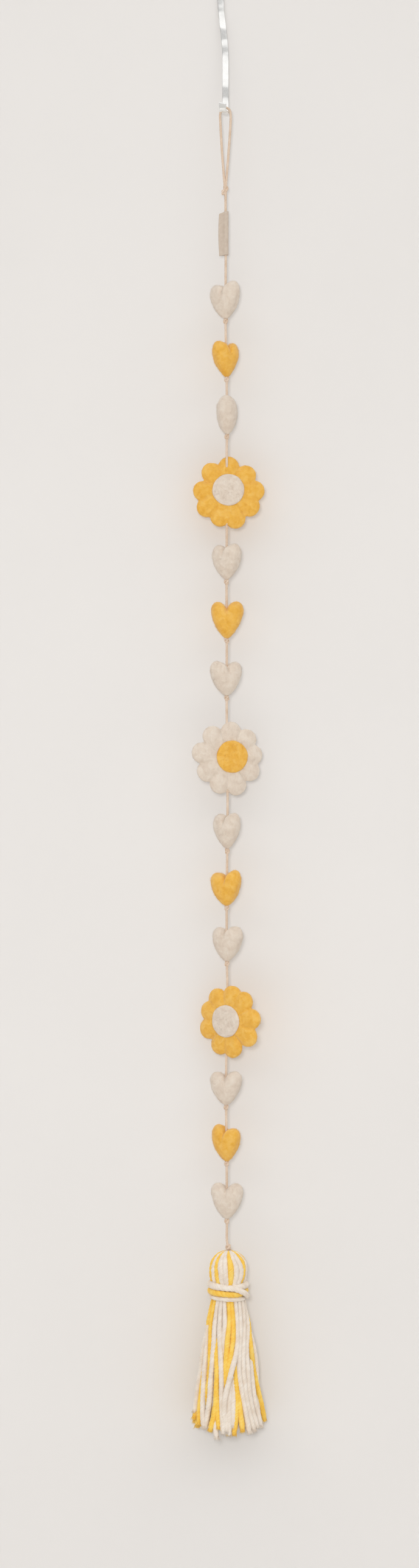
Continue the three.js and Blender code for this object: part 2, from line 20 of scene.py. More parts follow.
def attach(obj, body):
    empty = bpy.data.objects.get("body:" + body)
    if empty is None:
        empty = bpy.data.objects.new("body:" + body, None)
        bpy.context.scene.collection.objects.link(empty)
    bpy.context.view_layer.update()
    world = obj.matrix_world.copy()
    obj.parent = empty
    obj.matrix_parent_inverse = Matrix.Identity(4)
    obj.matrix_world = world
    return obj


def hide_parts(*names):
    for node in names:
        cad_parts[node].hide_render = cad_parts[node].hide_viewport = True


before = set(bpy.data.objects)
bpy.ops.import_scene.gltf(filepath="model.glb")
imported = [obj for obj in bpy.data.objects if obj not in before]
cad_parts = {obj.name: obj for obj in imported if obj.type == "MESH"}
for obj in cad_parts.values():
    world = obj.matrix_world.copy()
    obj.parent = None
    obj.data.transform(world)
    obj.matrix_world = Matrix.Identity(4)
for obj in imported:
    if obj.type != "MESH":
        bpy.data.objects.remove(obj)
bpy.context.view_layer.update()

MM = 0.001
TAU = 2 * math.pi
HANG_Y = -37                 # the plane in which the cord hangs, in front of the door
print("frame:", len(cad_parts), "solids")

# %% [markdown]
# ## The camera
#
# The photograph is tall and narrow and was taken from straight ahead. A long lens far away keeps the hearts
# at the top and at the foot the same size, so a 75 mm lens at 2.47 m is used. One pixel of the picture is
# then 0.46 mm on the hanging plane. The hook's upper part lies above the picture's edge, as it does in the
# photograph.

# %% The camera, straight ahead of the hanging cord
VIEW_FROM = (-9.1, HANG_Y - 2470, -656.9)
LENS, FILM_WIDTH = 75, 36

camera = bpy.data.objects.new("camera", bpy.data.cameras.new("camera"))
camera.data.sensor_width = FILM_WIDTH
camera.data.lens = LENS
camera.location = Vector(VIEW_FROM) * MM
camera.rotation_euler = (math.pi / 2, 0, 0)
bpy.context.collection.objects.link(camera)
bpy.context.scene.camera = camera
print("camera at", tuple(round(x, 3) for x in camera.location))

# %% [markdown]
# ## Small tools for making meshes
#
# Most pieces are closed skins: a start point, rings of points, and an end point. A heart is one, and so is a
# length of yarn. One helper turns rings into faces, and a second one makes the Blender object and hides the
# solids of the frame that the new piece stands for.

# %% Skins from rings of points
def bands(rings, first):
    """The faces from each ring of points to the next one, for points that are numbered from first on."""
    count, around, _ = rings.shape
    number = first + np.arange(count * around).reshape(count, around)
    ahead = np.roll(number, -1, axis=1)
    return np.stack([number[:-1], ahead[:-1], ahead[1:], number[1:]], axis=-1).reshape(-1, 4).tolist()


def skin(rings, start, end):
    """Points and faces of a closed skin through rings of points, drawn together at both ends."""
    points = np.vstack([[start], rings.reshape(-1, 3), [end]])
    around, last = rings.shape[1], len(points) - 1
    pairs = [(k, (k + 1) % around) for k in range(around)]
    start_faces = [(0, 1 + b, 1 + a) for a, b in pairs]
    end_faces = [(last, last - around + a, last - around + b) for a, b in pairs]
    return points, start_faces + bands(rings, 1) + end_faces


def gathered(skins):
    """Several skins as one. The third item, where there is one, is each point's place in its own yarn."""
    faces, count = [], 0
    for part in skins:
        faces += [tuple(i + count for i in face) for face in part[1]]
        count += len(part[0])
    columns = [np.vstack(column) for column in list(zip(*skins))[::2]]
    return (columns[0], faces, *columns[1:])


# %% A Blender object from a skin
def make_piece(name, made, material, replaces=()):
    """A smooth mesh object, in metres, from a skin in millimetres. It rides on the frame's one body."""
    mesh = bpy.data.meshes.new(name)
    mesh.from_pydata((np.asarray(made[0]) * MM).tolist(), [], made[1])
    if len(made) > 2:
        lay = mesh.attributes.new("lay", "FLOAT_VECTOR", "POINT")
        lay.data.foreach_set("vector", np.asarray(made[2], np.float32).ravel())
    shell = bmesh.new()
    shell.from_mesh(mesh)
    bmesh.ops.recalc_face_normals(shell, faces=shell.faces)
    shell.to_mesh(mesh)
    shell.free()
    mesh.polygons.foreach_set("use_smooth", [True] * len(mesh.polygons))
    mesh.materials.append(material)
    piece = bpy.data.objects.new(name, mesh)
    bpy.context.collection.objects.link(piece)
    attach(piece, "root")
    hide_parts(*replaces)
    print(f"{name}: {len(mesh.vertices)} points, {len(mesh.polygons)} faces")
    return piece


# %% [markdown]
# ## The finishes
#
# A finish is a small tree of nodes. Felt is matte wool: a slow noise tells the clumps of wool apart and a
# fast one the single fibres, which also lift the surface a little. Yarn and cord carry their own coordinates
# in an attribute named "lay", so that the streaks of their fibres run along the twist and not across it.

# %% Helpers for node trees
def new_finish(name, **sockets):
    """A material with these numbers on its shader's sockets, and functions that add and wire its nodes."""
    material = bpy.data.materials.new(name)
    material.use_nodes = True
    tree = material.node_tree
    shader = tree.nodes["Principled BSDF"]
    for socket, value in sockets.items():
        shader.inputs[socket.replace("_", " ")].default_value = value

    def add(kind, inputs=None, **settings):
        node = tree.nodes.new(kind)
        for key, value in settings.items():
            setattr(node, key, value)
        for socket, value in (inputs or {}).items():
            if isinstance(value, bpy.types.NodeSocket):
                tree.links.new(value, node.inputs[socket])
            else:
                node.inputs[socket].default_value = value
        return node

    def to_shader(socket, source):
        tree.links.new(source, shader.inputs[socket])

    return material, add, to_shader


def mean_of(add, first, second):
    """Half of the sum of two numbers."""
    total = add("ShaderNodeMath", {0: first, 1: second}, operation="ADD")
    return add("ShaderNodeMath", {0: total.outputs["Value"], 1: 0.5}, operation="MULTIPLY").outputs["Value"]


def set_stops(ramp, stops):
    """Gives a ramp of colours its stops, each of them a place and a colour."""
    elements = ramp.color_ramp.elements
    while len(elements) < len(stops):
        elements.new(0.5)
    for element, (place, colour) in zip(elements, stops):
        element.position = place
        element.color = (*colour, 1)


# %% What a number between 0 and 1 does to a surface: its colour, its roughness and its relief
def tinted(add, number, stops):
    """A colour chosen by the number, through stops of (place, colour)."""
    ramp = add("ShaderNodeValToRGB", {"Fac": number})
    set_stops(ramp, stops)
    return ramp.outputs["Color"]


def roughened(add, to_shader, number, least, most):
    """Makes the surface rougher where the number is high."""
    span = add("ShaderNodeMapRange", {"Value": number, "To Min": least, "To Max": most})
    to_shader("Roughness", span.outputs["Result"])


def raised(add, to_shader, number, strength, distance):
    """Lifts the surface a little where the number is high; the distance is in metres."""
    bump = add("ShaderNodeBump", {"Height": number, "Strength": strength, "Distance": distance})
    to_shader("Normal", bump.outputs["Normal"])


# %% Felt
def felt(name, shades):
    """Matte wool felt with clumps of wool and single fibres, in three shades from dark to light."""
    material, add, to_shader = new_finish(
        name, Sheen_Weight=0.3, Sheen_Roughness=0.5, Specular_IOR_Level=0.15,
    )
    place = add("ShaderNodeTexCoord").outputs["Object"]
    clumps = add("ShaderNodeTexNoise", {"Vector": place, "Scale": 220, "Detail": 2, "Distortion": 0.6})
    fibres = add("ShaderNodeTexNoise", {"Vector": place, "Scale": 1500, "Detail": 4, "Distortion": 3.0})
    wool = mean_of(add, clumps.outputs["Fac"], fibres.outputs["Fac"])
    to_shader("Base Color", tinted(add, wool, list(zip((0.34, 0.5, 0.66), shades))))
    roughened(add, to_shader, fibres.outputs["Fac"], 0.85, 1.0)
    raised(add, to_shader, fibres.outputs["Fac"], 0.5, 0.0006)
    return material


cream_felt = felt("cream_felt", [(0.70, 0.585, 0.485), (0.78, 0.675, 0.57), (0.84, 0.755, 0.66)])
yellow_felt = felt("yellow_felt", [(0.79, 0.395, 0.045), (0.88, 0.495, 0.085), (0.92, 0.58, 0.155)])
print("felts:", cream_felt.name, yellow_felt.name)

# %% Spun yarn and waxed cord
def spun(name, shades, rough, sheen, lift):
    """Fibres that lie along a twisted yarn, in three shades from dark to light."""
    material, add, to_shader = new_finish(
        name, Sheen_Weight=sheen, Sheen_Roughness=0.4, Specular_IOR_Level=0.2,
    )
    lay = add("ShaderNodeAttribute", attribute_name="lay").outputs["Vector"]
    streaks = add("ShaderNodeTexNoise", {"Vector": lay, "Scale": 2.6, "Detail": 4, "Distortion": 0.4})
    place = add("ShaderNodeTexCoord").outputs["Object"]
    patches = add("ShaderNodeTexNoise", {"Vector": place, "Scale": 160, "Detail": 2})
    fibre = mean_of(add, streaks.outputs["Fac"], patches.outputs["Fac"])
    to_shader("Base Color", tinted(add, fibre, list(zip((0.38, 0.5, 0.62), shades))))
    roughened(add, to_shader, streaks.outputs["Fac"], rough, 1.0)
    raised(add, to_shader, streaks.outputs["Fac"], lift, 0.0008)
    return material


SOFT = {"rough": 0.75, "sheen": 0.3, "lift": 0.35}
WAXY = {"rough": 0.4, "sheen": 0.1, "lift": 0.3}
cream_yarn = spun("cream_yarn", [(0.76, 0.655, 0.55), (0.82, 0.725, 0.625), (0.87, 0.80, 0.715)], **SOFT)
yellow_yarn = spun("yellow_yarn", [(0.90, 0.52, 0.07), (0.94, 0.61, 0.11), (0.95, 0.69, 0.19)], **SOFT)
waxed = spun("waxed_cord", [(0.67, 0.51, 0.38), (0.74, 0.58, 0.45), (0.79, 0.65, 0.53)], **WAXY)
print("yarns:", cream_yarn.name, yellow_yarn.name, waxed.name)

# %% Woven tape
def woven_tape():
    """Plain cotton tape: two sets of fine threads that cross over and under each other."""
    material, add, to_shader = new_finish(
        "label_tape", Sheen_Weight=0.15, Sheen_Roughness=0.5, Specular_IOR_Level=0.2,
    )
    lay = add("ShaderNodeAttribute", attribute_name="lay").outputs["Vector"]
    threads = {}
    for axis, name in (("X", "warp"), ("Y", "weft")):
        wave = add("ShaderNodeTexWave", {"Vector": lay, "Scale": 1.1, "Distortion": 0.6, "Detail": 1},
                   bands_direction=axis)
        threads[name] = wave.outputs["Fac"]
    weave = mean_of(add, threads["warp"], threads["weft"])
    worn = add("ShaderNodeTexNoise", {"Vector": lay, "Scale": 0.35, "Detail": 3}).outputs["Fac"]
    shade = mean_of(add, weave, worn)
    to_shader("Base Color", tinted(add, shade, [
        (0.3, (0.53, 0.43, 0.35)), (0.5, (0.62, 0.52, 0.43)), (0.7, (0.70, 0.61, 0.52)),
    ]))
    roughened(add, to_shader, worn, 0.8, 0.98)
    raised(add, to_shader, weave, 0.4, 0.0002)
    return material


label_tape = woven_tape()
print("tape:", label_tape.name)

# %% Hammered steel
def hammered_steel():
    """Bright plated steel with shallow hammer marks and a slightly duller grain."""
    material, add, to_shader = new_finish("hook_metal", Metallic=1.0)
    place = add("ShaderNodeTexCoord").outputs["Object"]
    marks = add("ShaderNodeTexNoise", {"Vector": place, "Scale": 150, "Detail": 1}).outputs["Fac"]
    grain = add("ShaderNodeTexNoise", {"Vector": place, "Scale": 1400, "Detail": 4}).outputs["Fac"]
    worn = mean_of(add, marks, grain)
    to_shader("Base Color", tinted(add, worn, [(0.3, (0.84, 0.84, 0.83)), (0.7, (0.95, 0.95, 0.94))]))
    roughened(add, to_shader, grain, 0.12, 0.3)
    raised(add, to_shader, marks, 0.25, 0.001)
    return material


hook_metal = hammered_steel()
print("steel:", hook_metal.name)

# %% [markdown]
# ## Smooth lines
#
# A cord or a yarn is drawn through a few points of a route. The curve has to pass through every one of them
# without overshooting, so it is the centripetal kind, the same as in the solid's source. Its own points are
# then spread evenly along it.

# %% Points spread evenly along a line
def distances(line):
    """How far along the line each of its points lies."""
    return np.concatenate([[0], np.cumsum(np.linalg.norm(np.diff(line, axis=0), axis=1))])


def spread(line, count):
    """The same line with this many points, all equally far apart."""
    along = distances(line)
    places = np.linspace(0, along[-1], count)
    return np.stack([np.interp(places, along, column) for column in line.T], axis=1)


def evenly(line, step):
    """The same line with a point about every step millimetres."""
    return spread(line, max(3, round(distances(line)[-1] / step) + 1))


# %% A smooth line through the points of a route
SPAN_STEPS = 14              # steps from one point of a route to the next, before they are spread evenly


def between(now, start, end, first, second):
    """From the first place, at the start time, to the second one, at the end time."""
    return ((end - now) * first + (now - start) * second) / (end - start)


def smooth_line(route, step):
    """A smooth line through every point of the route."""
    route = np.asarray(route, float)
    route = np.vstack([2 * route[0] - route[1], route, 2 * route[-1] - route[-2]])
    times = np.concatenate([[0], np.cumsum(np.linalg.norm(np.diff(route, axis=0), axis=1) ** 0.5)])
    spans = []
    for i in range(1, len(route) - 2):
        now = np.linspace(times[i], times[i + 1], SPAN_STEPS, endpoint=False)[:, None]
        places, when = route[i - 1:i + 3], times[i - 1:i + 3]
        for wide in (1, 2):
            places = [between(now, when[j], when[j + wide], places[j], places[j + 1])
                      for j in range(len(places) - 1)]
        spans.append(between(now, when[1], when[2], *places))
    return evenly(np.vstack([*spans, route[-2:-1]]), step)


# %% Directions across a line
ODD_WAY = (0.31, 0.87, 0.39)             # a direction that no line of this garland follows


def across(line):
    """Two directions across the line at each of its points, carried along it without a twist."""
    ahead = np.gradient(line, axis=0)
    ahead /= np.linalg.norm(ahead, axis=1)[:, None]
    side = np.cross(ahead[0], ODD_WAY)
    sides = []
    for direction in ahead:
        side = side - direction * (side @ direction)
        side /= np.linalg.norm(side)
        sides.append(side)
    sides = np.array(sides)
    return ahead, sides, np.cross(ahead, sides)


# %% A twisted yarn along a line
# count strands are laid round each other; apart is how far each one lies from the yarn's middle, as a part of
# the yarn's radius, and pitch is the length of one whole turn
CORD_LAY = {"count": 3, "apart": 0.33, "pitch": 6.5, "around": 18}
YARN_LAY = {"count": 3, "apart": 0.27, "pitch": 9, "around": 15}
INSIDE_LAY = YARN_LAY | {"around": 9, "pitch": 18}
END_DOME = 0.35              # how far each end stands out, as a part of the radius
# how long a streak of fibre is, and how far each yarn's streaks are moved on, so that no two yarns are alike
STREAK_LONG, STREAKS_ON = 6, 3


def twisted(line, radius, lay, start_turn=0.0):
    """The skin of a twisted yarn, with each point's place in the yarn itself."""
    radius = np.broadcast_to(np.asarray(radius, float), len(line))
    far = distances(line)
    ahead, side, up = across(line)
    round_it = np.linspace(0, TAU, lay["around"], endpoint=False)
    own = round_it[None, :] - TAU * far[:, None] / lay["pitch"] + start_turn
    part = TAU / lay["count"]
    off = (own + part / 2) % part - part / 2
    apart = lay["apart"]
    out = apart * np.cos(off) + np.sqrt((1 - apart) ** 2 - (apart * np.sin(off)) ** 2)
    out = (out * radius[:, None])[..., None]
    away = np.cos(round_it)[:, None] * side[:, None] + np.sin(round_it)[:, None] * up[:, None]
    start = line[0] - ahead[0] * radius[0] * END_DOME
    end = line[-1] + ahead[-1] * radius[-1] * END_DOME
    place = np.stack([np.cos(own), np.sin(own), 0 * own + far[:, None] / STREAK_LONG], axis=-1)
    place = place.reshape(-1, 3) + start_turn * STREAKS_ON
    return (*skin(line[:, None] + out * away, start, end), np.vstack([place[:1], place, place[-1:]]))


# %% [markdown]
# ## The waxed cord
#
# The cord is one length of thin waxed cotton. Its two ends meet in a knot, which makes the hanging loop, and
# the long end runs down through every heart and flower into the tassel's head. It is a tube with a section of
# three strands that turns as it goes, because the twist shows along the whole garland.

# %% The route of the cord, from the start of the loop down to the tassel
# sideways place and drop below the door's top
LOOP = [
    (2.6, 206), (1.7, 196), (0.2, 176), (-0.7, 160), (-0.95, 150.5), (0.2, 146.9), (2.95, 145.6),
    (5.7, 146.9), (6.85, 150.5), (6.7, 160), (5.6, 176), (4.0, 196), (3.2, 206),
]
# sideways place, distance behind the hanging plane, and drop below the door's top
SPINE = [
    (3.1, 0, 209), (3.2, 0, 260), (3.1, 0, 306.8), (3.9, 0, 351), (4.1, 0, 394.2), (3.9, 0, 406),
    (4.0, -0.1, 414.5), (4.1, 2.5, 420), (4.3, 3.0, 436), (4.0, 1.3, 450), (4.0, 0, 459.6), (3.8, 0, 504),
    (4.0, 0, 548.3), (3.9, 0, 592), (4.0, 0, 609), (4.2, 0, 640), (4.6, 0, 661.4), (4.3, 0, 707.5),
    (3.9, 0, 750.5), (4.1, 0, 792.6), (4.4, 0, 811), (4.1, 0, 836), (3.6, 0, 858.4), (3.5, 0, 901.2),
    (3.9, 0, 943.9), (4.1, 0, 987.4), (4.2, 0, 1003), (5.2, 0, 1007.1), (5.2, 0, 1016),
]
CORD_R, CORD_STEP = 1.0, 0.75

route = [(x, HANG_Y, -drop) for x, drop in LOOP] + [(x, HANG_Y + back, -drop) for x, back, drop in SPINE]
cord_line = smooth_line(route, CORD_STEP)
cord = make_piece("waxed_cord", twisted(cord_line, CORD_R, CORD_LAY), waxed, ["cord"])

# %% [markdown]
# ## The knots
#
# A knot sits under every heart and holds it up. An overhand knot in a thin cord is a small lump in which the
# cord crosses itself slantwise, so each one is a tight three-lobed loop of cord round the main cord.

# %% A tight knot of cord
# thick, ring and weave are parts of the knot's half width: the cord's radius, the ring that the cord runs
# round, and how far it weaves in and out; turn is how much farther each knot is turned than the one before
KNOT = {"thick": 0.38, "thickest": 0.85, "ring": 0.42, "weave": 0.2, "steps": 49, "around": 12, "turn": 1.9}


def knot(x, y, drop, half, tall, turn):
    """One overhand knot, pulled tight round the cord."""
    thick = min(KNOT["thickest"], half * KNOT["thick"])
    ring, weave, rise = half * KNOT["ring"], half * KNOT["weave"], tall - thick
    t = np.linspace(0, TAU, KNOT["steps"]) + math.pi / 3
    out = ring + weave * np.cos(3 * t)
    line = np.stack([out * np.cos(2 * t + turn), out * np.sin(2 * t + turn), rise * np.sin(3 * t)], axis=1)
    return twisted(line + (x, y, -drop), thick, CORD_LAY | {"around": KNOT["around"]}, turn)


# %% All the knots
# sideways place, drop, half the knot's width and half its height
TIGHT = (2.15, 2.1)
KNOTS = [
    (3.1, 206.6, 2.3, 2.5), (1.5, 209.6, 1.9, 2.1), (3.1, 306.8, *TIGHT), (3.9, 351, *TIGHT),
    (4.1, 394.2, *TIGHT), (4.0, 459.6, 1.6, 1.5), (3.8, 504, *TIGHT), (4.0, 548.3, *TIGHT),
    (3.9, 592, *TIGHT), (4.6, 661.4, 1.8, 2.2), (4.3, 707.5, *TIGHT), (3.9, 750.5, *TIGHT),
    (4.1, 792.6, *TIGHT), (3.6, 858.4, 1.6, 1.5), (3.5, 901.2, *TIGHT), (3.9, 943.9, *TIGHT),
    (4.1, 987.4, *TIGHT), (5.2, 1007.1, 2.5, 2.4),
]
# sideways place and drop of the small stitches that show in the notches of some hearts
STITCHES = [(2.35, 480.9), (3.95, 569.4), (2.7, 769.9), (2.55, 879.9), (3.3, 964.0)]
STITCH, STITCH_Y = (1.6, 1.6), HANG_Y - 1.2

tied = [(x, HANG_Y, *size) for x, *size in KNOTS] + [(x, STITCH_Y, drop, *STITCH) for x, drop in STITCHES]
knots = make_piece("cord_knots", gathered([
    knot(*place, number * KNOT["turn"]) for number, place in enumerate(tied)
]), waxed, ["cord"])

# %% [markdown]
# ## The felt hearts
#
# Each heart is shaped by hand from wet wool, so no two are alike: one lobe stands higher, one is narrower,
# and most hearts have turned a little on the cord. A heart is a round body whose widest ring is the heart's
# outline. Towards the front and the back its rings grow rounder, which leaves only a short crease under the
# notch. The wool's lumps are then pushed in and out along the surface.

# %% The outline of a heart
HEART = {"width": 24.6, "thick": 16, "thin_tip": 0.8, "around": 112, "rings": 46}
# the lobe's shape: parts of its half width and of its height
LOBE = {"inner": (0.2, 1.1), "outer": (1.04, 1.12), "widest": 0.74, "flank": (0.92, 0.5), "tip": 0.38}
# where the heart is fullest, and how round and how square its rings are
SWELL = {"at": 0.69, "reach": 0.49, "round": 0.6, "square": 0.72}
CURVE_STEPS = 200            # steps along a curve, before its points are spread evenly


def bezier(corners, count):
    """Points spread evenly along a cubic curve."""
    t = np.linspace(0, 1, CURVE_STEPS)[:, None]
    a, b, c, d = np.asarray(corners, float)
    line = a * (1 - t) ** 3 + 3 * b * t * (1 - t) ** 2 + 3 * c * t ** 2 * (1 - t) + d * t ** 3
    return spread(line, count + 1)


def heart_outline(left, right, notch, wide, sway):
    """The heart from the front: from the notch round the right lobe to the tip, and back up on the left."""
    half, quarter = HEART["width"] * wide / 2, HEART["around"] // 4
    inner, outer, flank = LOBE["inner"], LOBE["outer"], LOBE["flank"]
    sides = []
    for reach, top in ((half, right), (-half, left)):
        widest = (reach + sway, top * LOBE["widest"])
        over = [(0, notch), (reach * inner[0], top * inner[1]),
                (reach * outer[0] + sway, top * outer[1]), widest]
        down = [widest, (reach * flank[0] + sway, top * flank[1]), (reach * LOBE["tip"], 0), (0, 0)]
        sides.append(np.vstack([bezier(over, quarter), bezier(down, quarter)[1:]]))
    return np.vstack([sides[0], sides[1][1:-1][::-1]])


# %% The body of a heart
# the crease under the notch, in millimetres; full is how soon it is at its deepest away from the middle
CREASE = {"wide": 1.3, "long": 5, "deep": 1.6, "full": 3}


def heart_skin(left, right, notch, wide, sway):
    """The felt body round the outline, before its lumps are pushed in."""
    middle = np.array([sway / 2, notch * SWELL["at"]])
    reach = HEART["width"] * wide * SWELL["reach"]
    edge = heart_outline(left, right, notch, wide, sway) - middle
    rounded = edge / np.linalg.norm(edge, axis=1)[:, None] * reach
    rings, depths = [], np.cos(np.linspace(0, math.pi, HEART["rings"] + 2))
    for depth in depths:
        ring = edge + (rounded - edge) * abs(depth) * SWELL["round"]
        ring = ring * math.sqrt(max(1 - depth ** 2, 0)) ** SWELL["square"] + middle
        taper = HEART["thin_tip"] + (1 - HEART["thin_tip"]) * ring[:, 1] / notch
        under = np.clip((ring[:, 1] - notch + CREASE["long"]) / CREASE["long"], 0, 1)
        crease = np.exp(-(ring[:, 0] / CREASE["wide"]) ** 2) * under * CREASE["deep"]
        pressed = np.sign(depth) * crease * min(1, CREASE["full"] * abs(depth))
        y = depth * (HEART["thick"] / 2) * taper - pressed
        rings.append(np.stack([ring[:, 0], y, ring[:, 1]], axis=1))
    rings = np.array(rings)
    return skin(rings[1:-1], rings[0].mean(axis=0), rings[-1].mean(axis=0))


# %% Lumps and pills of hand-felted wool
# how far lumps and pills stand out and how large they are, in millimetres
WOOL = {"lump": 0.26, "lump_size": 6.5, "pill": 0.1, "pill_size": 1.9}
NEXT_WOOL = (3.1, 1.7, 0.9)  # how far each piece's lumps are moved on, so that no two pieces are alike


def read(items, what, kind=float):
    """The same three numbers of every item of a mesh, one row for each."""
    numbers = np.zeros(len(items) * 3, kind)
    items.foreach_get(what, numbers)
    return numbers.reshape(-1, 3)


def felted(piece, seed):
    """Pushes the surface in and out along its own directions."""
    mesh = piece.data
    where, out = read(mesh.vertices, "co"), read(mesh.vertex_normals, "vector")
    shift = Vector([seed * step for step in NEXT_WOOL])
    push = [
        WOOL["lump"] * noise.noise(Vector(p) / (WOOL["lump_size"] * MM) + shift)
        + WOOL["pill"] * noise.noise(Vector(p) / (WOOL["pill_size"] * MM) - shift)
        for p in where
    ]
    mesh.vertices.foreach_set("co", (where + out * (np.array(push) * MM)[:, None]).ravel())
    mesh.update()
    return piece


# %% Twelve hearts on the cord
# colour, sideways place, drop of the tip, height of the left lobe, of the right lobe and of the notch, width
# as a part of the usual one, degrees turned to the right, and how far the lobes lean sideways
HEARTS = [
    ("cream", 3.1, 305.4, 25.3, 28.1, 21.4, 1, -31, -0.8),
    ("yellow", 3.9, 349.6, 26.7, 25.4, 21.9, 0.86, 27, -1.3),
    ("cream", 4.1, 392.8, 28.7, 26.9, 22.4, 1, 86, 0),
    ("cream", 3.8, 502.6, 25.6, 26.5, 21.2, 0.98, -33, 0.2),
    ("yellow", 4.0, 546.9, 27.1, 27.4, 21.2, 1, -4, 0.3),
    ("cream", 3.9, 590.6, 25.8, 25.4, 20.8, 1, 13, -0.7),
    ("cream", 4.3, 706.1, 25.8, 26.7, 21.6, 0.9, -33, -0.2),
    ("yellow", 3.9, 749.1, 24.6, 26.9, 19.4, 1, -24, -0.7),
    ("cream", 4.1, 791.2, 25.1, 26.2, 20.8, 1, -28, 0.8),
    ("cream", 3.5, 899.8, 24.4, 25.3, 19.6, 1, -15, -0.1),
    ("yellow", 3.9, 942.5, 27.6, 24.8, 21.2, 0.96, -33, -0.6),
    ("cream", 4.1, 986.0, 26.9, 26.5, 21.6, 1, -12, 0.2),
]
FELTS = {"cream": cream_felt, "yellow": yellow_felt}


def turned(points, degrees):
    """Points turned about the upright axis, positive to the viewer's right."""
    cos, sin = math.cos(math.radians(degrees)), math.sin(math.radians(degrees))
    x, y, z = points.T
    return np.stack([x * cos - y * sin, x * sin + y * cos, z], axis=1)


felt_pieces = []
for number, (colour, x, tip, left, right, notch, wide, turn, sway) in enumerate(HEARTS, 1):
    points, faces = heart_skin(left, right, notch, wide, sway)
    placed = turned(points, turn) + (x, HANG_Y, -tip)
    heart = make_piece(f"felt_heart_{number:02d}", (placed, faces), FELTS[colour],
                       [f"heart_{number:02d}"])
    felted(heart, number)
    felt_pieces.append((heart, colour))
print(len(felt_pieces), "hearts")

# %% [markdown]
# ## The felt flowers
#
# A flower is cut and worked from one thick felt, with nine round petals. Its outline is the outermost of
# nine circles, which no valley cuts deeper than a least reach, and it is softened a little where two of them
# meet. The felt is full in each petal and dips in a short fold that runs in from every valley.

# %% The outline of a flower
# petal is the radius of a petal's circle, valley the least reach, and soften a width in degrees
FLOWER = {"half_thick": 3.5, "petal": 7.8, "valley": 20.8, "around": 320, "soften": 1.6}
# how far out the rings of points lie, as parts of the reach, closer together near the edge
RING_PLACES = [*np.linspace(0.06, 0.84, 14), 0.88, 0.915, 0.945, 0.97, 0.987, 0.997]


def petal_reach(petals):
    """How far the felt reaches in each direction round the flower."""
    angle = np.linspace(0, TAU, FLOWER["around"], endpoint=False)
    reach = np.full_like(angle, FLOWER["valley"])
    for at, tip in petals:
        off = angle - math.radians(at)
        out = tip - FLOWER["petal"]
        inside = FLOWER["petal"] ** 2 - (out * np.sin(off)) ** 2
        reach = np.maximum(reach, np.where((np.cos(off) > 0) & (inside > 0),
                                           out * np.cos(off) + np.sqrt(np.maximum(inside, 0)), 0))
    width = math.radians(FLOWER["soften"])
    offs = np.minimum(angle, TAU - angle)
    blur = np.exp(-(offs / width) ** 2 / 2)
    return angle, np.fft.ifft(np.fft.fft(reach) * np.fft.fft(blur / blur.sum())).real


# %% The body of a flower
# the fold that runs in from each valley, the swelling of each petal, and how square the felt's edge is
FOLD = {"narrow": 1.5, "deep": 0.62, "from": 0.45, "over": 0.5}
FULL = {"more": 0.12, "at": 0.72, "wide": 0.16}
SQUARE = {"outwards": 4.5, "through": 1 / 3}


def flower_skin(petals):
    """Thick felt round the outline, full in the petals and folded in at the valleys."""
    angle, reach = petal_reach(petals)
    tips, valleys = reach.max(), reach.min()
    valley = np.clip((tips - reach) / (tips - valleys), 0, 1) ** FOLD["narrow"]
    rings = []
    for side, places in ((-1, RING_PLACES), (1, RING_PLACES[::-1])):
        for place in places:
            fold = 1 - FOLD["deep"] * valley * np.clip((place - FOLD["from"]) / FOLD["over"], 0, 1)
            full = 1 + FULL["more"] * np.exp(-((place - FULL["at"]) / FULL["wide"]) ** 2) * (1 - valley)
            edge = (1 - place ** SQUARE["outwards"]) ** SQUARE["through"]
            y = side * FLOWER["half_thick"] * edge * fold * full
            rings.append(np.stack([np.cos(angle) * reach * place, y, np.sin(angle) * reach * place], axis=1))
        if side < 0:
            rings.append(np.stack([np.cos(angle) * reach, 0 * angle, np.sin(angle) * reach], axis=1))
    return skin(np.array(rings), (0, -FLOWER["half_thick"], 0), (0, FLOWER["half_thick"], 0))


# %% The domed middle of a flower
# uneven is how far the disc is from round, as a part of its radius, and bumps how many bumps that makes
MIDDLE = {"radius": 12.1, "rise": 2.6, "base": -3.3, "around": 120, "uneven": 0.022, "bumps": 1.5}
# how far out and how far up each ring of points lies, as parts of the radius and of the rise
DOME = [(0.97, 0.0), (0.995, 0.12), (1.0, 0.28), (0.985, 0.44), (0.955, 0.57), (0.91, 0.68), (0.84, 0.78),
        (0.75, 0.86), (0.64, 0.92), (0.52, 0.955), (0.4, 0.975), (0.28, 0.99), (0.16, 0.997), (0.06, 1.0)]
FLAT_BACK = [(0.2, 0), (0.45, 0), (0.7, 0), (0.88, 0)]


def middle_skin(across_x, up_z, seed):
    """A small felt disc with a domed front, not quite round."""
    angle = np.linspace(0, TAU, MIDDLE["around"], endpoint=False)
    bumps = MIDDLE["bumps"]
    uneven = np.array([
        1 + MIDDLE["uneven"] * noise.noise(Vector((math.cos(a) * bumps, math.sin(a) * bumps, seed)))
        for a in angle
    ])
    rings = []
    for out, up in FLAT_BACK + DOME:
        radius = MIDDLE["radius"] * out * uneven
        y = np.full_like(angle, MIDDLE["base"] - up * MIDDLE["rise"])
        rings.append(np.stack([across_x + np.cos(angle) * radius, y, up_z + np.sin(angle) * radius], axis=1))
    back = (across_x, MIDDLE["base"], up_z)
    return skin(np.array(rings), back, (across_x, MIDDLE["base"] - MIDDLE["rise"], up_z))


# %% Three flowers on the cord
FLOWER_SEED = 20             # the flowers' lumps are numbered from here, past those of the hearts
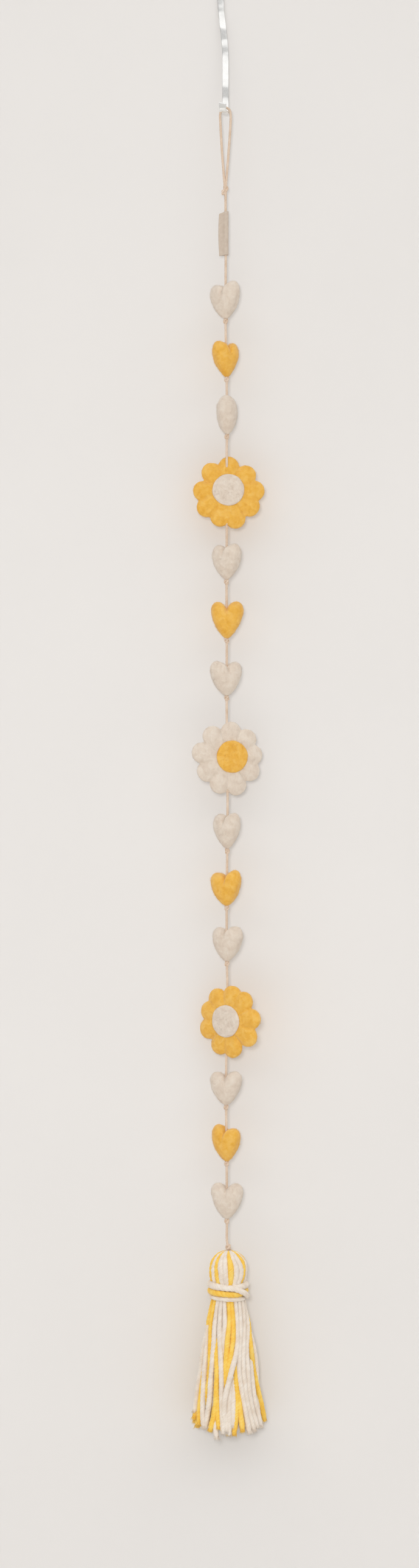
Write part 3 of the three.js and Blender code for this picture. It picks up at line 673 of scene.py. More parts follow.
# petals are directions in degrees, anticlockwise from the right, and how far each petal's tip reaches; drop
# and x say where the cord runs, across and back how far the flower is shifted on it, and off where its middle
# lies; lean and turn are in degrees
FLOWERS = [
    {"petals": [(90, 27.3), (131, 27.6), (177, 27.1), (214, 27.8), (251, 27.2), (284, 28.2), (326, 26.8),
                (3, 27.2), (45, 25.9)],
     "felt": "yellow", "middle": "cream", "drop": 436.1, "x": 4.05, "across": 1.4, "back": 2.3, "turn": 0,
     "lean": 5, "off": (-0.2, 1.4)},
    {"petals": [(83, 28.0), (125, 28.2), (168, 28.4), (211, 26.6), (252, 27.6), (288, 29.0), (331, 27.4),
                (8, 27.2), (45, 28.2)],
     "felt": "cream", "middle": "yellow", "drop": 637.6, "x": 4.36, "across": 0.3, "back": 0, "turn": 14,
     "lean": 0, "off": (2.6, 1.3)},
    {"petals": [(83, 27.3), (122, 27.6), (158, 26.6), (198, 27.2), (245, 27.2), (279, 27.7), (327, 27.6),
                (7, 27.5), (50, 27.4)],
     "felt": "yellow", "middle": "cream", "drop": 836.3, "x": 3.77, "across": 2.7, "back": 0, "turn": -33,
     "lean": 0, "off": (-1.0, 0.4)},
]


def placed_flower(points, flower):
    """The flower's points moved onto the cord: shifted, leaned back and turned."""
    x, y, z = (points + (flower["across"], flower["back"], 0)).T
    lean = -math.radians(flower["lean"])
    cos, sin = math.cos(lean), math.sin(lean)
    leaned = np.stack([x, y * cos - z * sin, y * sin + z * cos], axis=1)
    return turned(leaned, flower["turn"]) + (flower["x"], HANG_Y, -flower["drop"])


for number, flower in enumerate(FLOWERS, 1):
    parts = [
        ("felt_flower", flower_skin(flower["petals"]), flower["felt"], f"flower_{number}"),
        ("felt_middle", middle_skin(*flower["off"], number), flower["middle"], f"flower_{number}_middle"),
    ]
    for name, (points, faces), colour, node in parts:
        piece = make_piece(f"{name}_{number}", (placed_flower(points, flower), faces), FELTS[colour],
                           [node])
        felted(piece, FLOWER_SEED + number)
        felt_pieces.append((piece, colour))
print(len(felt_pieces), "felt pieces in all")

# %% [markdown]
# ## The label
#
# The label is a short piece of cotton tape, folded round the cord with its two ends together at the left. It
# is left bare here. The tape is one thin sheet that follows the fold, a little narrower and lower at its free
# corners, where the cut ends have sagged.

# %% A folded tape
LABEL = {"top": 224, "long": 33, "flap": 5.6, "fold": 1.85, "opens": 1.95, "half_ply": 0.27,
         "narrower": 0.1, "widest_at": 0.55, "sag_above": 2.0, "sag_below": 0.7, "bow": 0.5, "x": 3.2,
         "fold_steps": 22, "step": 0.3, "rows": 84}
# one layer from the fold out to its free end: sideways place, and distance from the plane between the layers
FLAP = [(-LABEL["fold"] - 0.5, 0.62), (-3.6, 0.45), (-4.6, 0.42), (-LABEL["flap"], 0.5)]
# the ragged cut ends, thread by thread, and a slow ripple down the tape
RAGGED = {"deep": 0.25, "threads": 2.1, "ends": 9, "seed": 3}
RIPPLE = {"deep": 0.25, "waves": 7}


def label_skin():
    """The folded tape as a thin closed skin: front layer, fold and back layer."""
    arc = np.linspace(-LABEL["opens"], LABEL["opens"], LABEL["fold_steps"])
    fold = np.stack([np.cos(arc), np.sin(arc)], axis=1) * LABEL["fold"]
    ahead = np.array([(x, -y) for x, y in FLAP][::-1])
    section = evenly(np.vstack([ahead, fold, np.array(FLAP)]), LABEL["step"])
    slope = np.gradient(section, axis=0)
    out = np.stack([slope[:, 1], -slope[:, 0]], axis=1) / np.linalg.norm(slope, axis=1)[:, None]
    outline = np.vstack([section + out * LABEL["half_ply"], (section - out * LABEL["half_ply"])[::-1]])
    width = np.concatenate([np.arange(len(section)), np.arange(len(section))[::-1]]) * LABEL["step"]
    x, y = outline.T
    loose = np.maximum(-x, 0) / LABEL["flap"]
    rings, lays = [], []
    for part in np.linspace(0, 1, LABEL["rows"]):
        cut = np.array([
            noise.noise(Vector((w * RAGGED["threads"], part * RAGGED["ends"], RAGGED["seed"]))) for w in width
        ]) * (part in (0, 1))
        sag = LABEL["sag_below"] + (LABEL["sag_above"] - LABEL["sag_below"]) * part
        ripple = LABEL["bow"] * math.sin(part * math.pi) + RIPPLE["deep"] * math.sin(part * RIPPLE["waves"])
        ring = np.stack([
            x * (1 - loose * LABEL["narrower"] * (2 * (part - LABEL["widest_at"])) ** 2),
            y + loose * ripple,
            part * LABEL["long"] - loose * sag + RAGGED["deep"] * cut,
        ], axis=1)
        rings.append(ring + (LABEL["x"], HANG_Y, -LABEL["top"] - LABEL["long"]))
        lays.append(np.stack([width, np.full_like(width, part * LABEL["long"]), 0 * width], axis=1))
    return np.array(rings), np.vstack(lays), float(distances(section)[-1])


def end_strips(first, count):
    """Faces that close one end of the tape, from its outer line of points to its inner one."""
    half = count // 2
    return [(first + i, first + i + 1, first + count - 2 - i, first + count - 1 - i) for i in range(half - 1)]


label_rings, label_lay, tape_width = label_skin()
rows, around, _ = label_rings.shape
label_faces = bands(label_rings, 0) + end_strips(0, around) + end_strips((rows - 1) * around, around)
label = make_piece("label_tape", (label_rings.reshape(-1, 3), label_faces, label_lay), label_tape,
                   ["label"])
print(f"label: cut {tape_width:.1f} by {LABEL['long']} mm before it was folded")

# %% [markdown]
# ## The tassel
#
# The tassel is a bundle of soft yarn, cream and yellow, folded over at the top and bound round its neck. The
# yarns that show in front are placed one by one, because their colours and crossings are what the eye
# follows. The ones at the sides, behind and inside follow a rule.

# %% The yarns of the skirt that show in front
TASSEL_X = 5.2
YARN_R = 2.15
SKIRT_DROPS = (1047.9, 1062.6, 1080.1, 1100.3, 1120.1, 1139.0)
# how far out the middle lines of the outermost yarns lie: sideways, and to the front and back
SKIRT_WIDE = np.array([12.0, 14.8, 18.2, 21.0, 24.2, 27.6])
SKIRT_DEEP = np.array([11.2, 14.2, 17.4, 20.2, 22.8, 25.4])
LAYER = 3.2                  # how far each layer lies under the one outside it
TUCK, TUCK_UP = 0.8, 6       # the top ends: their share of the first radius, and how far up they go
# colour, sideways place at each of the six drops, how many layers under the outermost one at each, and the
# end's drop
SKIRT_FRONT = [
    ("yellow", (-11.9, -14.7, -15.6, -18.0, -21.4, -26.9), (0, 0, 1, 1, .9, 0), 1136.4),
    ("yellow", (-10.0, -12.9, -15.4, -18.2, -21.0, -21.9), (.5, .8, 1, .8, .3, .1), 1138.6),
    ("cream", (-11.6, -14.2, -18.1, -20.9, -23.9, -27.2), (.6, .4, 0, 0, 0, 0), 1131.5),
    ("cream", (-11.8, -14.5, -16.2, -18.2, -19.1, -18.7), (.1, .1, 0, 0, 0, 0), 1140.6),
    ("yellow", (-10.2, -12.7, -13.6, -14.1, -16.6, -18.2), (0, 0, 0, .5, .8, 1), 1139.0),
    ("cream", (-7.9, -9.7, -11.1, -12.7, -14.3, -17.3), (0, 0, 0, 0, 0, .3), 1140.6),
    ("yellow", (-6.3, -8.1, -9.0, -8.8, -9.5, -13.4), (1, 1, .4, 0, 0, 0), 1142.2),
    ("yellow", (-5.3, -6.7, -8.1, -8.1, -8.3, -7.2), (1, 1, 1, 1, .3, 0), 1140.0),
    ("cream", (-5.6, -6.5, -6.3, -5.1, -5.3, -4.2), (0, 0, 0, 0, 0, 0), 1143.2),
    ("cream", (-3.0, -2.8, -4.0, -3.5, -2.6, -1.2), (0, 0, .5, 1, .2, 0), 1142.0),
    ("yellow", (0.2, 0.6, -1.2, -2.3, -2.1, -0.7), (0, 0, 0, .2, 1, .9), 1145.0),
    ("yellow", (2.4, 3.6, 2.5, -0.5, 0.2, 2.0), (0, 0, 0, .2, 1, 1), 1142.0),
    ("cream", (5.2, 6.4, 6.4, 1.6, -2.8, -2.8), (0, 0, 0, -.8, -.6, .2), 1143.0),
    ("cream", (1.6, 2.0, 2.5, 2.0, 0.4, 0.4), (1, 1, 1, 1, 0, 0), 1144.0),
    ("cream", (3.9, 3.9, 4.3, 4.1, 3.4, 3.4), (1, 1, 1, .8, 0, 0), 1139.0),
    ("yellow", (5.7, 5.7, 5.7, 5.2, 6.3, 4.6), (1, 1, 1, .3, 0, 0), 1144.4),
    ("yellow", (6.6, 7.0, 6.8, 6.2, 8.0, 10.1), (1, 1, 1, 1, .1, 0), 1142.2),
    ("cream", (8.0, 8.9, 8.5, 8.0, 11.2, 14.9), (0, 0, 0, 0, 0, 0), 1144.1),
    ("cream", (10.4, 11.7, 11.0, 11.4, 14.0, 18.6), (0, .1, 0, 0, 0, 0), 1143.0),
    ("yellow", (9.0, 11.6, 12.0, 12.1, 13.0, 13.0), (1, .7, .8, 1, 1, 1), 1138.0),
    ("cream", (11.6, 14.2, 13.5, 14.5, 16.5, 21.3), (.4, .1, .1, 0, 0, 0), 1140.8),
    ("cream", (11.0, 14.0, 15.0, 17.0, 19.3, 24.1), (1, 1, 1, .3, 0, 0), 1141.2),
    ("yellow", (12.4, 15.2, 16.5, 19.0, 23.6, 29.6), (.6, .1, 0, .5, 0, 0), 1138.5),
    ("cream", (12.2, 16.0, 18.6, 22.3, 21.0, 22.5), (1, .6, 0, 0, .8, 1), 1139.0),
    ("cream", (-8.1, -9.0, -9.5, -10.0, -10.5, -9.4), (1, 1, 1, 1, .8, .4), 1147.6),
]


def skirt_line(places, layers, end):
    """The middle line of one yarn in front, laid on the skirt's round surface."""
    under = np.array(layers) * LAYER
    x = np.clip(places, under - SKIRT_WIDE, SKIRT_WIDE - under)
    y = -(SKIRT_DEEP - under) * np.sqrt(1 - (x / (SKIRT_WIDE - under)) ** 2)
    line = np.stack([x + TASSEL_X, y + HANG_Y, -np.array(SKIRT_DROPS)], axis=1)
    line[-1] += (line[-1] - line[-2]) * (end - SKIRT_DROPS[-1]) / (SKIRT_DROPS[-1] - SKIRT_DROPS[-2])
    tucked = [(TASSEL_X + x[0] * TUCK, HANG_Y + y[0] * TUCK, -SKIRT_DROPS[0] + TUCK_UP)]
    return np.vstack([tucked, line])


# %% The yarns behind and inside
chance = np.random.default_rng(5)
# how far a yarn may drift round the tassel and waver, how much its distance differs, and where it may end
RULE = {"drift": 0.09, "waver": 0.03, "uneven": 0.5, "ends": (1136, 1144)}


def waver(most, count=None):
    """Random steps to either side, at most this large."""
    return chance.uniform(-most, most, count)


def round_tassel(turns, wide, deep, drops):
    """Places round the tassel: directions, how far out they lie sideways and in depth, and drops."""
    x, y = TASSEL_X + np.cos(turns) * wide, HANG_Y + np.sin(turns) * deep
    return np.stack([x, y, 0 * turns - drops], axis=1)


def skirt_rule_line(turn, share):
    """The middle line of a yarn placed by rule: its direction round the tassel, its share of the radius."""
    drift, end = waver(RULE["drift"]), chance.uniform(*RULE["ends"])
    drops = np.array([SKIRT_DROPS[0] - TUCK_UP, *SKIRT_DROPS[:-1], end])
    turns = turn + drift * np.linspace(0, 1, len(drops)) + waver(RULE["waver"], len(drops))
    wide, deep = (np.array([reach[0] * TUCK, *reach]) * share for reach in (SKIRT_WIDE, SKIRT_DEEP))
    wide[1:] += waver(RULE["uneven"], len(SKIRT_WIDE))
    return round_tassel(turns, wide, deep, drops)


def covered_by(turn, share):
    """The colour of the front yarn that lies over this direction, so that no gap shows the wrong one."""
    x = math.cos(turn) * SKIRT_WIDE[2] * share
    return min(SKIRT_FRONT, key=lambda yarn: abs(yarn[1][2] - x))[0]


# how many yarns, their share of the skirt's radius, and from where to where they stand, in half turns
SKIRT_ROUNDS = [(14, 0.985, 0.08, 0.92), (28, 0.85, 0, 2), (18, 0.62, 0, 2), (11, 0.4, 0, 2), (5, 0.16, 0, 2)]
OUTERMOST = SKIRT_ROUNDS[0][0]
behind = []
for count, share, start, end in SKIRT_ROUNDS:
    for k in range(count):
        turn = math.pi * (start + (end - start) * (k + 0.5) / count)
        by_rule = "yellow" if k % 3 == 1 else "cream"
        behind.append((by_rule if turn < math.pi else covered_by(turn, share), skirt_rule_line(turn, share)))

in_front = [(colour, skirt_line(*places)) for colour, *places in SKIRT_FRONT]
print(len(in_front) + len(behind), "yarns in the skirt")


# %% The yarns of the head
HEAD_DROPS = (1009.8, 1012.9, 1018.9, 1025.8, 1033.6, 1040.0)
HEAD_OUT = (2.6, 7.4, 11.6, 12.2, 10.9, 9.0)           # radius of the yarns' middle lines over the dome
HEAD_LAYER = 1.6                                       # how far a whole layer lies under the outermost yarns
HEAD_LEAST = 0.3                                       # the least square of a yarn's distance to the front
# sideways place at each of the six drops, and how many layers under the outermost one
HEAD_FRONT = [
    ("yellow", (-2.5, -7.6, -11.4, -12.2, -11.2, -9), 0.5),
    ("cream", (-2.2, -6.7, -10.0, -10.7, -9.4, -8), 0),
    ("yellow", (-1.8, -5.3, -8.2, -8.0, -6.7, -6), 0.4),
    ("cream", (-1.3, -4.0, -5.8, -5.3, -4.0, -4), 0),
    ("cream", (-0.8, -2.1, -2.6, -2.1, -1.2, -1), 0),
    ("yellow", (0.0, 0.2, 1.4, 2.0, 0.9, 1), 0.05),
    ("cream", (0.9, 2.3, 4.8, 5.6, 4.2, 3), 0),
    ("cream", (1.6, 4.6, 8.0, 9.0, 6.4, 5), 0),
    ("yellow", (2.2, 6.4, 10.2, 10.3, 8.0, 6), 0.15),
    ("cream", (2.5, 7.2, 11.5, 12.1, 10.8, 8), 0.15),
]
# the yarns behind: how many, where the first stands and how far round they go, in half turns, and how much
# their distances differ
HEAD_BEHIND, HEAD_FROM, HEAD_ROUND = 12, 0.05, 0.9
HEAD_UNEVEN = (-0.3, 0.1)


def head_line(places, layer):
    """The middle line of one yarn in front, folded over the head."""
    reach = np.array(HEAD_OUT) - layer * HEAD_LAYER
    x = np.array(places)
    y = -np.sqrt(np.maximum(reach ** 2 - x ** 2, HEAD_LEAST))
    return np.stack([TASSEL_X + x, HANG_Y + y, -np.array(HEAD_DROPS)], axis=1)


head_lines = [(colour, head_line(places, layer)) for colour, places, layer in HEAD_FRONT]
for k in range(HEAD_BEHIND):
    turns = math.pi * (HEAD_FROM + HEAD_ROUND * (k + 0.5) / HEAD_BEHIND) + waver(RULE["waver"], len(HEAD_OUT))
    out = np.array(HEAD_OUT) + chance.uniform(*HEAD_UNEVEN, len(HEAD_OUT))
    line = round_tassel(turns, out, out, np.array(HEAD_DROPS))
    head_lines.append(("yellow" if k % 3 == 0 else "cream", line))
print(len(head_lines), "yarns over the head")


# %% The skin of one yarn of the tassel
# places along a yarn, from its start to its end, and its thickness there as a part of YARN_R
SKIRT_FULL = ((0, 0.12, 0.28, 0.96, 1), (0.72, 0.82, 1.0, 1.05, 0.6))
HEAD_FULL = ((0, 0.15, 0.45, 0.85, 1), (0.35, 0.75, 1.2, 1.1, 0.8))
# a yarn wanders this far from its line and swells by this part of its radius, in so many waves
WANDER = {"far": 0.55, "waves": 5, "starts": 4}
SWELLS = {"more": 0.1, "waves": 22}
TURN_STEPS = 8               # steps along each whole turn of a yarn's twist
# how far each yarn's wandering, swelling and twist are moved on, so that no two yarns are alike
NEXT_YARN = {"wander": 1.3, "swell": 2.7, "turn": 2.4}


def yarn(line, number, full, lay):
    """One soft yarn, slimmer where the binding or the knot holds it, that wanders a little from its line."""
    middle = smooth_line(line, lay["pitch"] / TURN_STEPS)
    part = np.linspace(0, 1, len(middle))
    own = number * NEXT_YARN["wander"]
    wander = [[noise.noise(Vector((p * WANDER["waves"], own, axis * 9))) for axis in range(2)] for p in part]
    middle[:, :2] += np.array(wander) * WANDER["far"] * np.minimum(1, part * WANDER["starts"])[:, None]
    swell = [
        1 + SWELLS["more"] * noise.noise(Vector((p * SWELLS["waves"], number * NEXT_YARN["swell"], 5)))
        for p in part
    ]
    return twisted(middle, np.interp(part, *full) * YARN_R * swell, lay, number * NEXT_YARN["turn"])


# %% The head's core and every yarn, as one piece for each colour
# a yarn's number tells its waves apart from those of the others, and these are the first ones of two sets
BEHIND_FIRST, HEAD_FIRST = 40, 200
# colours and lines, the number of the first yarn, its thickness along the line, and its lay
YARN_SETS = [
    (in_front, 0, SKIRT_FULL, YARN_LAY),
    (behind[:OUTERMOST], BEHIND_FIRST, SKIRT_FULL, YARN_LAY),
    (behind[OUTERMOST:], BEHIND_FIRST + OUTERMOST, SKIRT_FULL, INSIDE_LAY),
    (head_lines, HEAD_FIRST, HEAD_FULL, YARN_LAY),
]
yarns = {"cream": [], "yellow": []}
for lines, first, full, lay in YARN_SETS:
    for number, (colour, line) in enumerate(lines, first):
        yarns[colour].append(yarn(line, number, full, lay))

# radius and drop of the core's rings, and the drops of its two ends
CORE = [(0.4, 1010.6), (5.0, 1012.4), (9.0, 1017), (10.6, 1023), (10.2, 1029), (9.2, 1034), (8.8, 1046),
        (9.6, 1052)]
CORE_TOP, CORE_FOOT = 1010.3, 1052.4
CORE_AROUND, CORE_STREAKS = 40, 4

angle = np.linspace(0, TAU, CORE_AROUND, endpoint=False)
core_rings = np.array([round_tassel(angle, radius, radius, drop) for radius, drop in CORE])
core = skin(core_rings, (TASSEL_X, HANG_Y, -CORE_TOP), (TASSEL_X, HANG_Y, -CORE_FOOT))
yarns["cream"].append((*core, core[0] / CORE_STREAKS))
tassel = make_piece("tassel_cream_yarns", gathered(yarns["cream"]), cream_yarn, ["tassel"])
stripes = make_piece("tassel_yellow_yarns", gathered(yarns["yellow"]), yellow_yarn, ["tassel"])

# %% [markdown]
# ## The binding
#
# Three fat turns of yarn hold the neck. A cream yarn goes round once, crosses slantwise over the yellow turn
# at the right, and goes round again below it. Its ends are tucked in under the turns behind.

# %% Turns of yarn round the neck
NECK_OUT = 13.5              # how far from the tassel's middle the turns' middle line lies
BINDING_STEP = 1.2
BINDING_LAY = YARN_LAY | {"pitch": 11, "around": 21}
# degrees round from the viewer's right, distance out from the neck's turns, drop, and the yarn's radius there
CREAM_TURNS = [
    (-446, -4.5, 1036.5, 2.0), (-428, -0.6, 1035.8, 2.4), (-400, 0, 1035.6, 2.6), (-340, 0, 1035.4, 2.6),
    (-270, 0, 1035.4, 2.6), (-220, 0, 1035.2, 2.7), (-180, 0, 1035.0, 2.8), (-135, 0.1, 1035.4, 2.8),
    (-90, 0.1, 1036.2, 2.5), (-72, 0.6, 1036.6, 2.4), (-58, 2.0, 1037.9, 2.3), (-42, 2.9, 1040.2, 2.2),
    (-26, 2.1, 1042.5, 2.1), (-6, 0.2, 1043.9, 2.1), (30, -0.2, 1044.3, 2.1), (90, -0.3, 1044.2, 2.1),
    (150, -0.3, 1043.8, 2.0), (180, -0.4, 1043.7, 1.9), (225, -0.4, 1044.3, 1.8), (270, -0.5, 1044.7, 1.8),
    (310, -0.6, 1044.9, 1.8), (335, -1.0, 1044.9, 1.7), (352, -4.5, 1044.6, 1.5),
]
YELLOW_TURNS = [
    (50, -4.5, 1040.2, 1.8), (72, -0.6, 1040.0, 2.3), (120, 0, 1039.9, 2.4), (180, 0, 1039.7, 2.5),
    (225, 0, 1040.2, 2.5), (270, 0, 1040.9, 2.3), (300, -0.2, 1041.3, 2.2), (325, -1.2, 1041.0, 2.1),
    (350, -0.7, 1040.0, 2.2), (380, 0, 1039.9, 2.3), (420, 0, 1040.0, 2.3), (446, -0.6, 1040.1, 2.2),
    (465, -4.5, 1040.2, 1.8),
]


def binding(turns, seed):
    """A yarn wound round the neck through the places of a table."""
    line = [
        (TASSEL_X + math.cos(math.radians(at)) * (NECK_OUT + out),
         HANG_Y + math.sin(math.radians(at)) * (NECK_OUT + out), -drop)
        for at, out, drop, _ in turns
    ]
    middle = smooth_line(line, BINDING_STEP)
    placed_at = distances(line)
    part = np.linspace(0, placed_at[-1], len(middle))
    return twisted(middle, np.interp(part, placed_at, [turn[3] for turn in turns]), BINDING_LAY, seed)


bindings = {
    "cream": make_piece("binding_cream_turns", binding(CREAM_TURNS, 1.1), cream_yarn,
                        ["binding_cream"]),
    "yellow": make_piece("binding_yellow_turn", binding(YELLOW_TURNS, 2.3), yellow_yarn,
                         ["binding_yellow"]),
}

# %% [markdown]
# ## The steel hook
#
# The hook is one steel strip, bent over the door, hammered below the saddle and turned up at its foot. Its
# middle line is the one of the solid. The strip is swept along it with rounded edges, and the hammer marks
# are pressed into its faces, so that the light breaks into bright and grey bands.

# %% The middle line of the strip, seen from the side
# corner is how square the strip's section is, and step the distance between its rings
STRIP = {"half_width": 2.5, "half_thick": 0.9, "corner": 4.2, "around": 36, "step": 0.8}
# depth and height of the points of the front and of the tail behind the door
FRONT_WAVES = [
    (-18.9, -6), (-18.9, -40), (-19.4, -62), (-20.9, -75), (-22.7, -82), (-23.3, -91), (-24.2, -97),
    (-24.9, -105), (-28.0, -116), (-30.9, -129), (-31.2, -137), (-32.6, -145.1),
]
TAIL = [(20.5, -42), (19.22, -33.6), (18.9, -21), (18.9, -3)]
BEND_R, BEND_Y, BEND_Z = 3.9, 15, -3.0
FOOT_R, FOOT_Z = 4.4, -145.1
END_OUT, END_Z = 0.6, -143.0
BEND_STEPS = 14


def bend(y, z, radius, start, end):
    """A round bend about a point, from one direction to another, in degrees."""
    turns = np.radians(np.linspace(start, end, BEND_STEPS))
    return np.stack([y + np.cos(turns) * radius, z + np.sin(turns) * radius], axis=1)


side_line = np.vstack([
    TAIL, bend(BEND_Y, BEND_Z, BEND_R, 0, 90)[1:], bend(-BEND_Y, BEND_Z, BEND_R, 90, 180),
    FRONT_WAVES, bend(HANG_Y, FOOT_Z, FOOT_R, 0, -180)[1:], [(HANG_Y - FOOT_R - END_OUT, END_Z)],
])
strip_line = smooth_line(np.column_stack([np.zeros(len(side_line)), side_line]), STRIP["step"])
print(len(strip_line), "steps along the strip")


# %% The hammered strip
# between which drops the front sways to the left and then to the foot's side, and how far
SWAY = {"from_y": -18, "left": (28, 54), "left_by": -0.6, "foot": (58, 106), "foot_by": 3}
# between which depths the end widens and bends aside, and the slant of its cut over the last steps
END = {"depths": (37.8, 40.4), "wider": 0.14, "aside": 2.2, "slant": 0.28, "cut_steps": 4}
# how deep the hammer marks are, how wide and long, below which height they start, and the uneven width
MARKS = {"deep": 0.16, "across": 0.5, "long": 5.5, "below": -8, "uneven": 0.12, "uneven_long": 9}


def smooth_part(value, low, high):
    """Nought up to the low value, one from the high value on, and a smooth rise between them."""
    part = np.clip((value - low) / (high - low), 0, 1)
    return part * part * (3 - 2 * part)


def squared(wave):
    """A sine or cosine made squarer, for a section with rounded corners."""
    return np.sign(wave) * np.abs(wave) ** (2 / STRIP["corner"])


def strip_skin():
    """The strip with rounded edges, swayed sideways, widened at its tip and hammered."""
    ahead = np.gradient(strip_line, axis=0)
    ahead /= np.linalg.norm(ahead, axis=1)[:, None]
    turn = np.linspace(0, TAU, STRIP["around"], endpoint=False)
    beside, thick = squared(np.cos(turn)), squared(np.sin(turn))
    rings, last = [], len(strip_line)
    for i, ((_, y, z), (_, ay, az)) in enumerate(zip(strip_line, ahead)):
        foot, left = smooth_part(-z, *SWAY["foot"]), smooth_part(-z, *SWAY["left"])
        sway = (SWAY["left_by"] * left * (1 - foot) + SWAY["foot_by"] * foot) if y < SWAY["from_y"] else 0
        tip = smooth_part(-y, *END["depths"])
        along = i * STRIP["step"]
        dents = np.array([
            noise.noise(Vector((b * MARKS["across"], along / MARKS["long"], 4 if t > 0 else 8)))
            for b, t in zip(beside, thick)
        ])
        uneven = MARKS["uneven"] * noise.noise(Vector((along / MARKS["uneven_long"], 2, 1)))
        width = STRIP["half_width"] * (1 + END["wider"] * tip) + uneven
        x = beside * width + sway - END["aside"] * tip
        through = thick * STRIP["half_thick"] + np.sign(thick) * dents * MARKS["deep"] * (z < MARKS["below"])
        cut = END["slant"] * beside * width * smooth_part(i, last - END["cut_steps"], last - 1)
        rings.append(np.stack([x, y + az * through, z - ay * through - cut], axis=1))
    return skin(np.array(rings), rings[0].mean(axis=0), rings[-1].mean(axis=0))


make_piece("steel_strip", strip_skin(), hook_metal, ["hook"])

# %% [markdown]
# ## Loose hairs
#
# Wool felt and soft yarn are never quite smooth: short fibres stand off the surface and soften every edge.
# Each hair is a thin curved spike with three sides. The hairs of one colour on the felt are one piece, and
# those on the yarn are another.

# %% One spike for each hair
def spikes(root, bent, tip, thick):
    """Closed three-sided spikes, each through three places, a little slimmer at the bend than at the root."""
    ahead = tip - root
    side = np.cross(ahead, ODD_WAY)
    side /= np.linalg.norm(side, axis=1)[:, None]
    up = np.cross(ahead, side)
    up /= np.linalg.norm(up, axis=1)[:, None]
    rings = [
        place + (side * math.cos(angle) + up * math.sin(angle)) * thick * share
        for place, share in ((root, 1), (bent, 0.7)) for angle in (0, TAU / 3, 2 * TAU / 3)
    ]
    points = np.stack([*rings, tip], axis=1)
    pattern = [(0, 1, 4, 3), (1, 2, 5, 4), (2, 0, 3, 5), (3, 4, 6), (4, 5, 6), (5, 3, 6), (0, 2, 1)]
    faces = [tuple(i * points.shape[1] + k for k in face) for i in range(len(root)) for face in pattern]
    return points.reshape(-1, 3), faces


# %% Hairs rooted over a surface
# thick is a radius; short and flat are the least parts of the usual length and rise; a hair curves sideways,
# is rooted a little under the surface, and bends on its way along and out
HAIR = {"thick": 0.045, "short": 0.4, "flat": 0.3, "curve": 0.4, "rooted": 0.1, "bend": 0.55,
        "bend_out": 0.75}


def hairs(piece, count, length, rise, random):
    """Thin curved spikes, spread evenly over a piece's surface."""
    mesh = piece.data
    mesh.calc_loop_triangles()
    where = read(mesh.vertices, "co")
    a, b, c = (where[corner] / MM for corner in read(mesh.loop_triangles, "vertices", np.int32).T)
    normal = np.cross(b - a, c - a)
    area = np.linalg.norm(normal, axis=1)
    pick = random.choice(len(area), count, p=area / area.sum())
    u, v = random.random((2, count, 1))
    u, v = np.where(u + v > 1, 1 - u, u), np.where(u + v > 1, 1 - v, v)
    root = a[pick] + u * (b - a)[pick] + v * (c - a)[pick]
    out = normal[pick] / area[pick][:, None]
    along = np.cross(out, random.normal(size=(count, 3)))
    along /= np.linalg.norm(along, axis=1)[:, None]
    beside = np.cross(out, along)
    long = length * random.uniform(HAIR["short"], 1.0, (count, 1))
    lift = rise * random.uniform(HAIR["flat"], 1.0, (count, 1))
    curve = random.uniform(-HAIR["curve"], HAIR["curve"], (count, 1))
    bent = root + (along * HAIR["bend"] + out * lift * HAIR["bend_out"]) * long
    tip = root + (along + out * lift + beside * curve) * long
    return spikes(root - out * HAIR["rooted"], bent, tip, HAIR["thick"])


# %% Frayed ends
# the fibres start inside the yarn, over this share of its section, and bend on their way out
FRAY = {"count": 60, "long": 4.2, "short": 0.45, "inwards": -0.1, "spread": 0.45, "thick": 0.16, "from": 2.4,
        "section": 0.85, "bend": 0.55, "beyond": 0.45, "stray": 0.3}


def frayed(line, random):
    """A small brush of loose fibres at the cut end of a yarn."""
    count = FRAY["count"]
    ahead = (line[-1] - line[-2]) / np.linalg.norm(line[-1] - line[-2])
    angle = random.uniform(0, TAU, (count, 1))
    out = YARN_R * FRAY["section"] * np.sqrt(random.random((count, 1)))
    side = np.cross(ahead, ODD_WAY)
    side /= np.linalg.norm(side)
    away = np.cos(angle) * side + np.sin(angle) * np.cross(ahead, side)
    root = line[-1] + away * out - ahead * FRAY["from"]
    long = FRAY["long"] * random.uniform(FRAY["short"], 1, (count, 1))
    way = ahead + away * random.uniform(FRAY["inwards"], FRAY["spread"], (count, 1))
    bent = root + way * long * FRAY["bend"]
    stray = random.normal(scale=FRAY["stray"], size=(count, 3))
    return spikes(root, bent, bent + (way + stray) * long * FRAY["beyond"], FRAY["thick"])


# %% The hairs of each colour
HAIR_LONG, FELT_RISE, YARN_RISE = 1.8, 0.8, 0.5
HAIRS = {"felt_heart": 1350, "felt_flower": 2600, "felt_middle": 900}
YARN_HAIRS, BINDING_HAIRS = 5000, 700
# the yarns whose ends can be seen: all those in front, and behind them the two outer rounds
frayed_yarns = in_front + behind[:OUTERMOST + SKIRT_ROUNDS[1][0]]

for colour, yarn_piece in (("cream", tassel), ("yellow", stripes)):
    source = np.random.default_rng(17)
    tufts = [hairs(piece, HAIRS[piece.name.rsplit("_", 1)[0]], HAIR_LONG, FELT_RISE, source)
             for piece, own in felt_pieces if own == colour]
    fluff = [hairs(piece, count, HAIR_LONG, YARN_RISE, source)
             for piece, count in ((yarn_piece, YARN_HAIRS), (bindings[colour], BINDING_HAIRS))]
    fluff += [frayed(line, source) for own, line in frayed_yarns if own == colour]
    yarn_finish = yarn_piece.data.materials[0]
    # a hair is too thin to throw a shadow that shows
    for name, tuft, finish in (("felt", tufts, FELTS[colour]), ("yarn", fluff, yarn_finish)):
        fuzz = make_piece(f"{name}_hairs_{colour}", gathered(tuft), finish)
        fuzz.visible_shadow = False

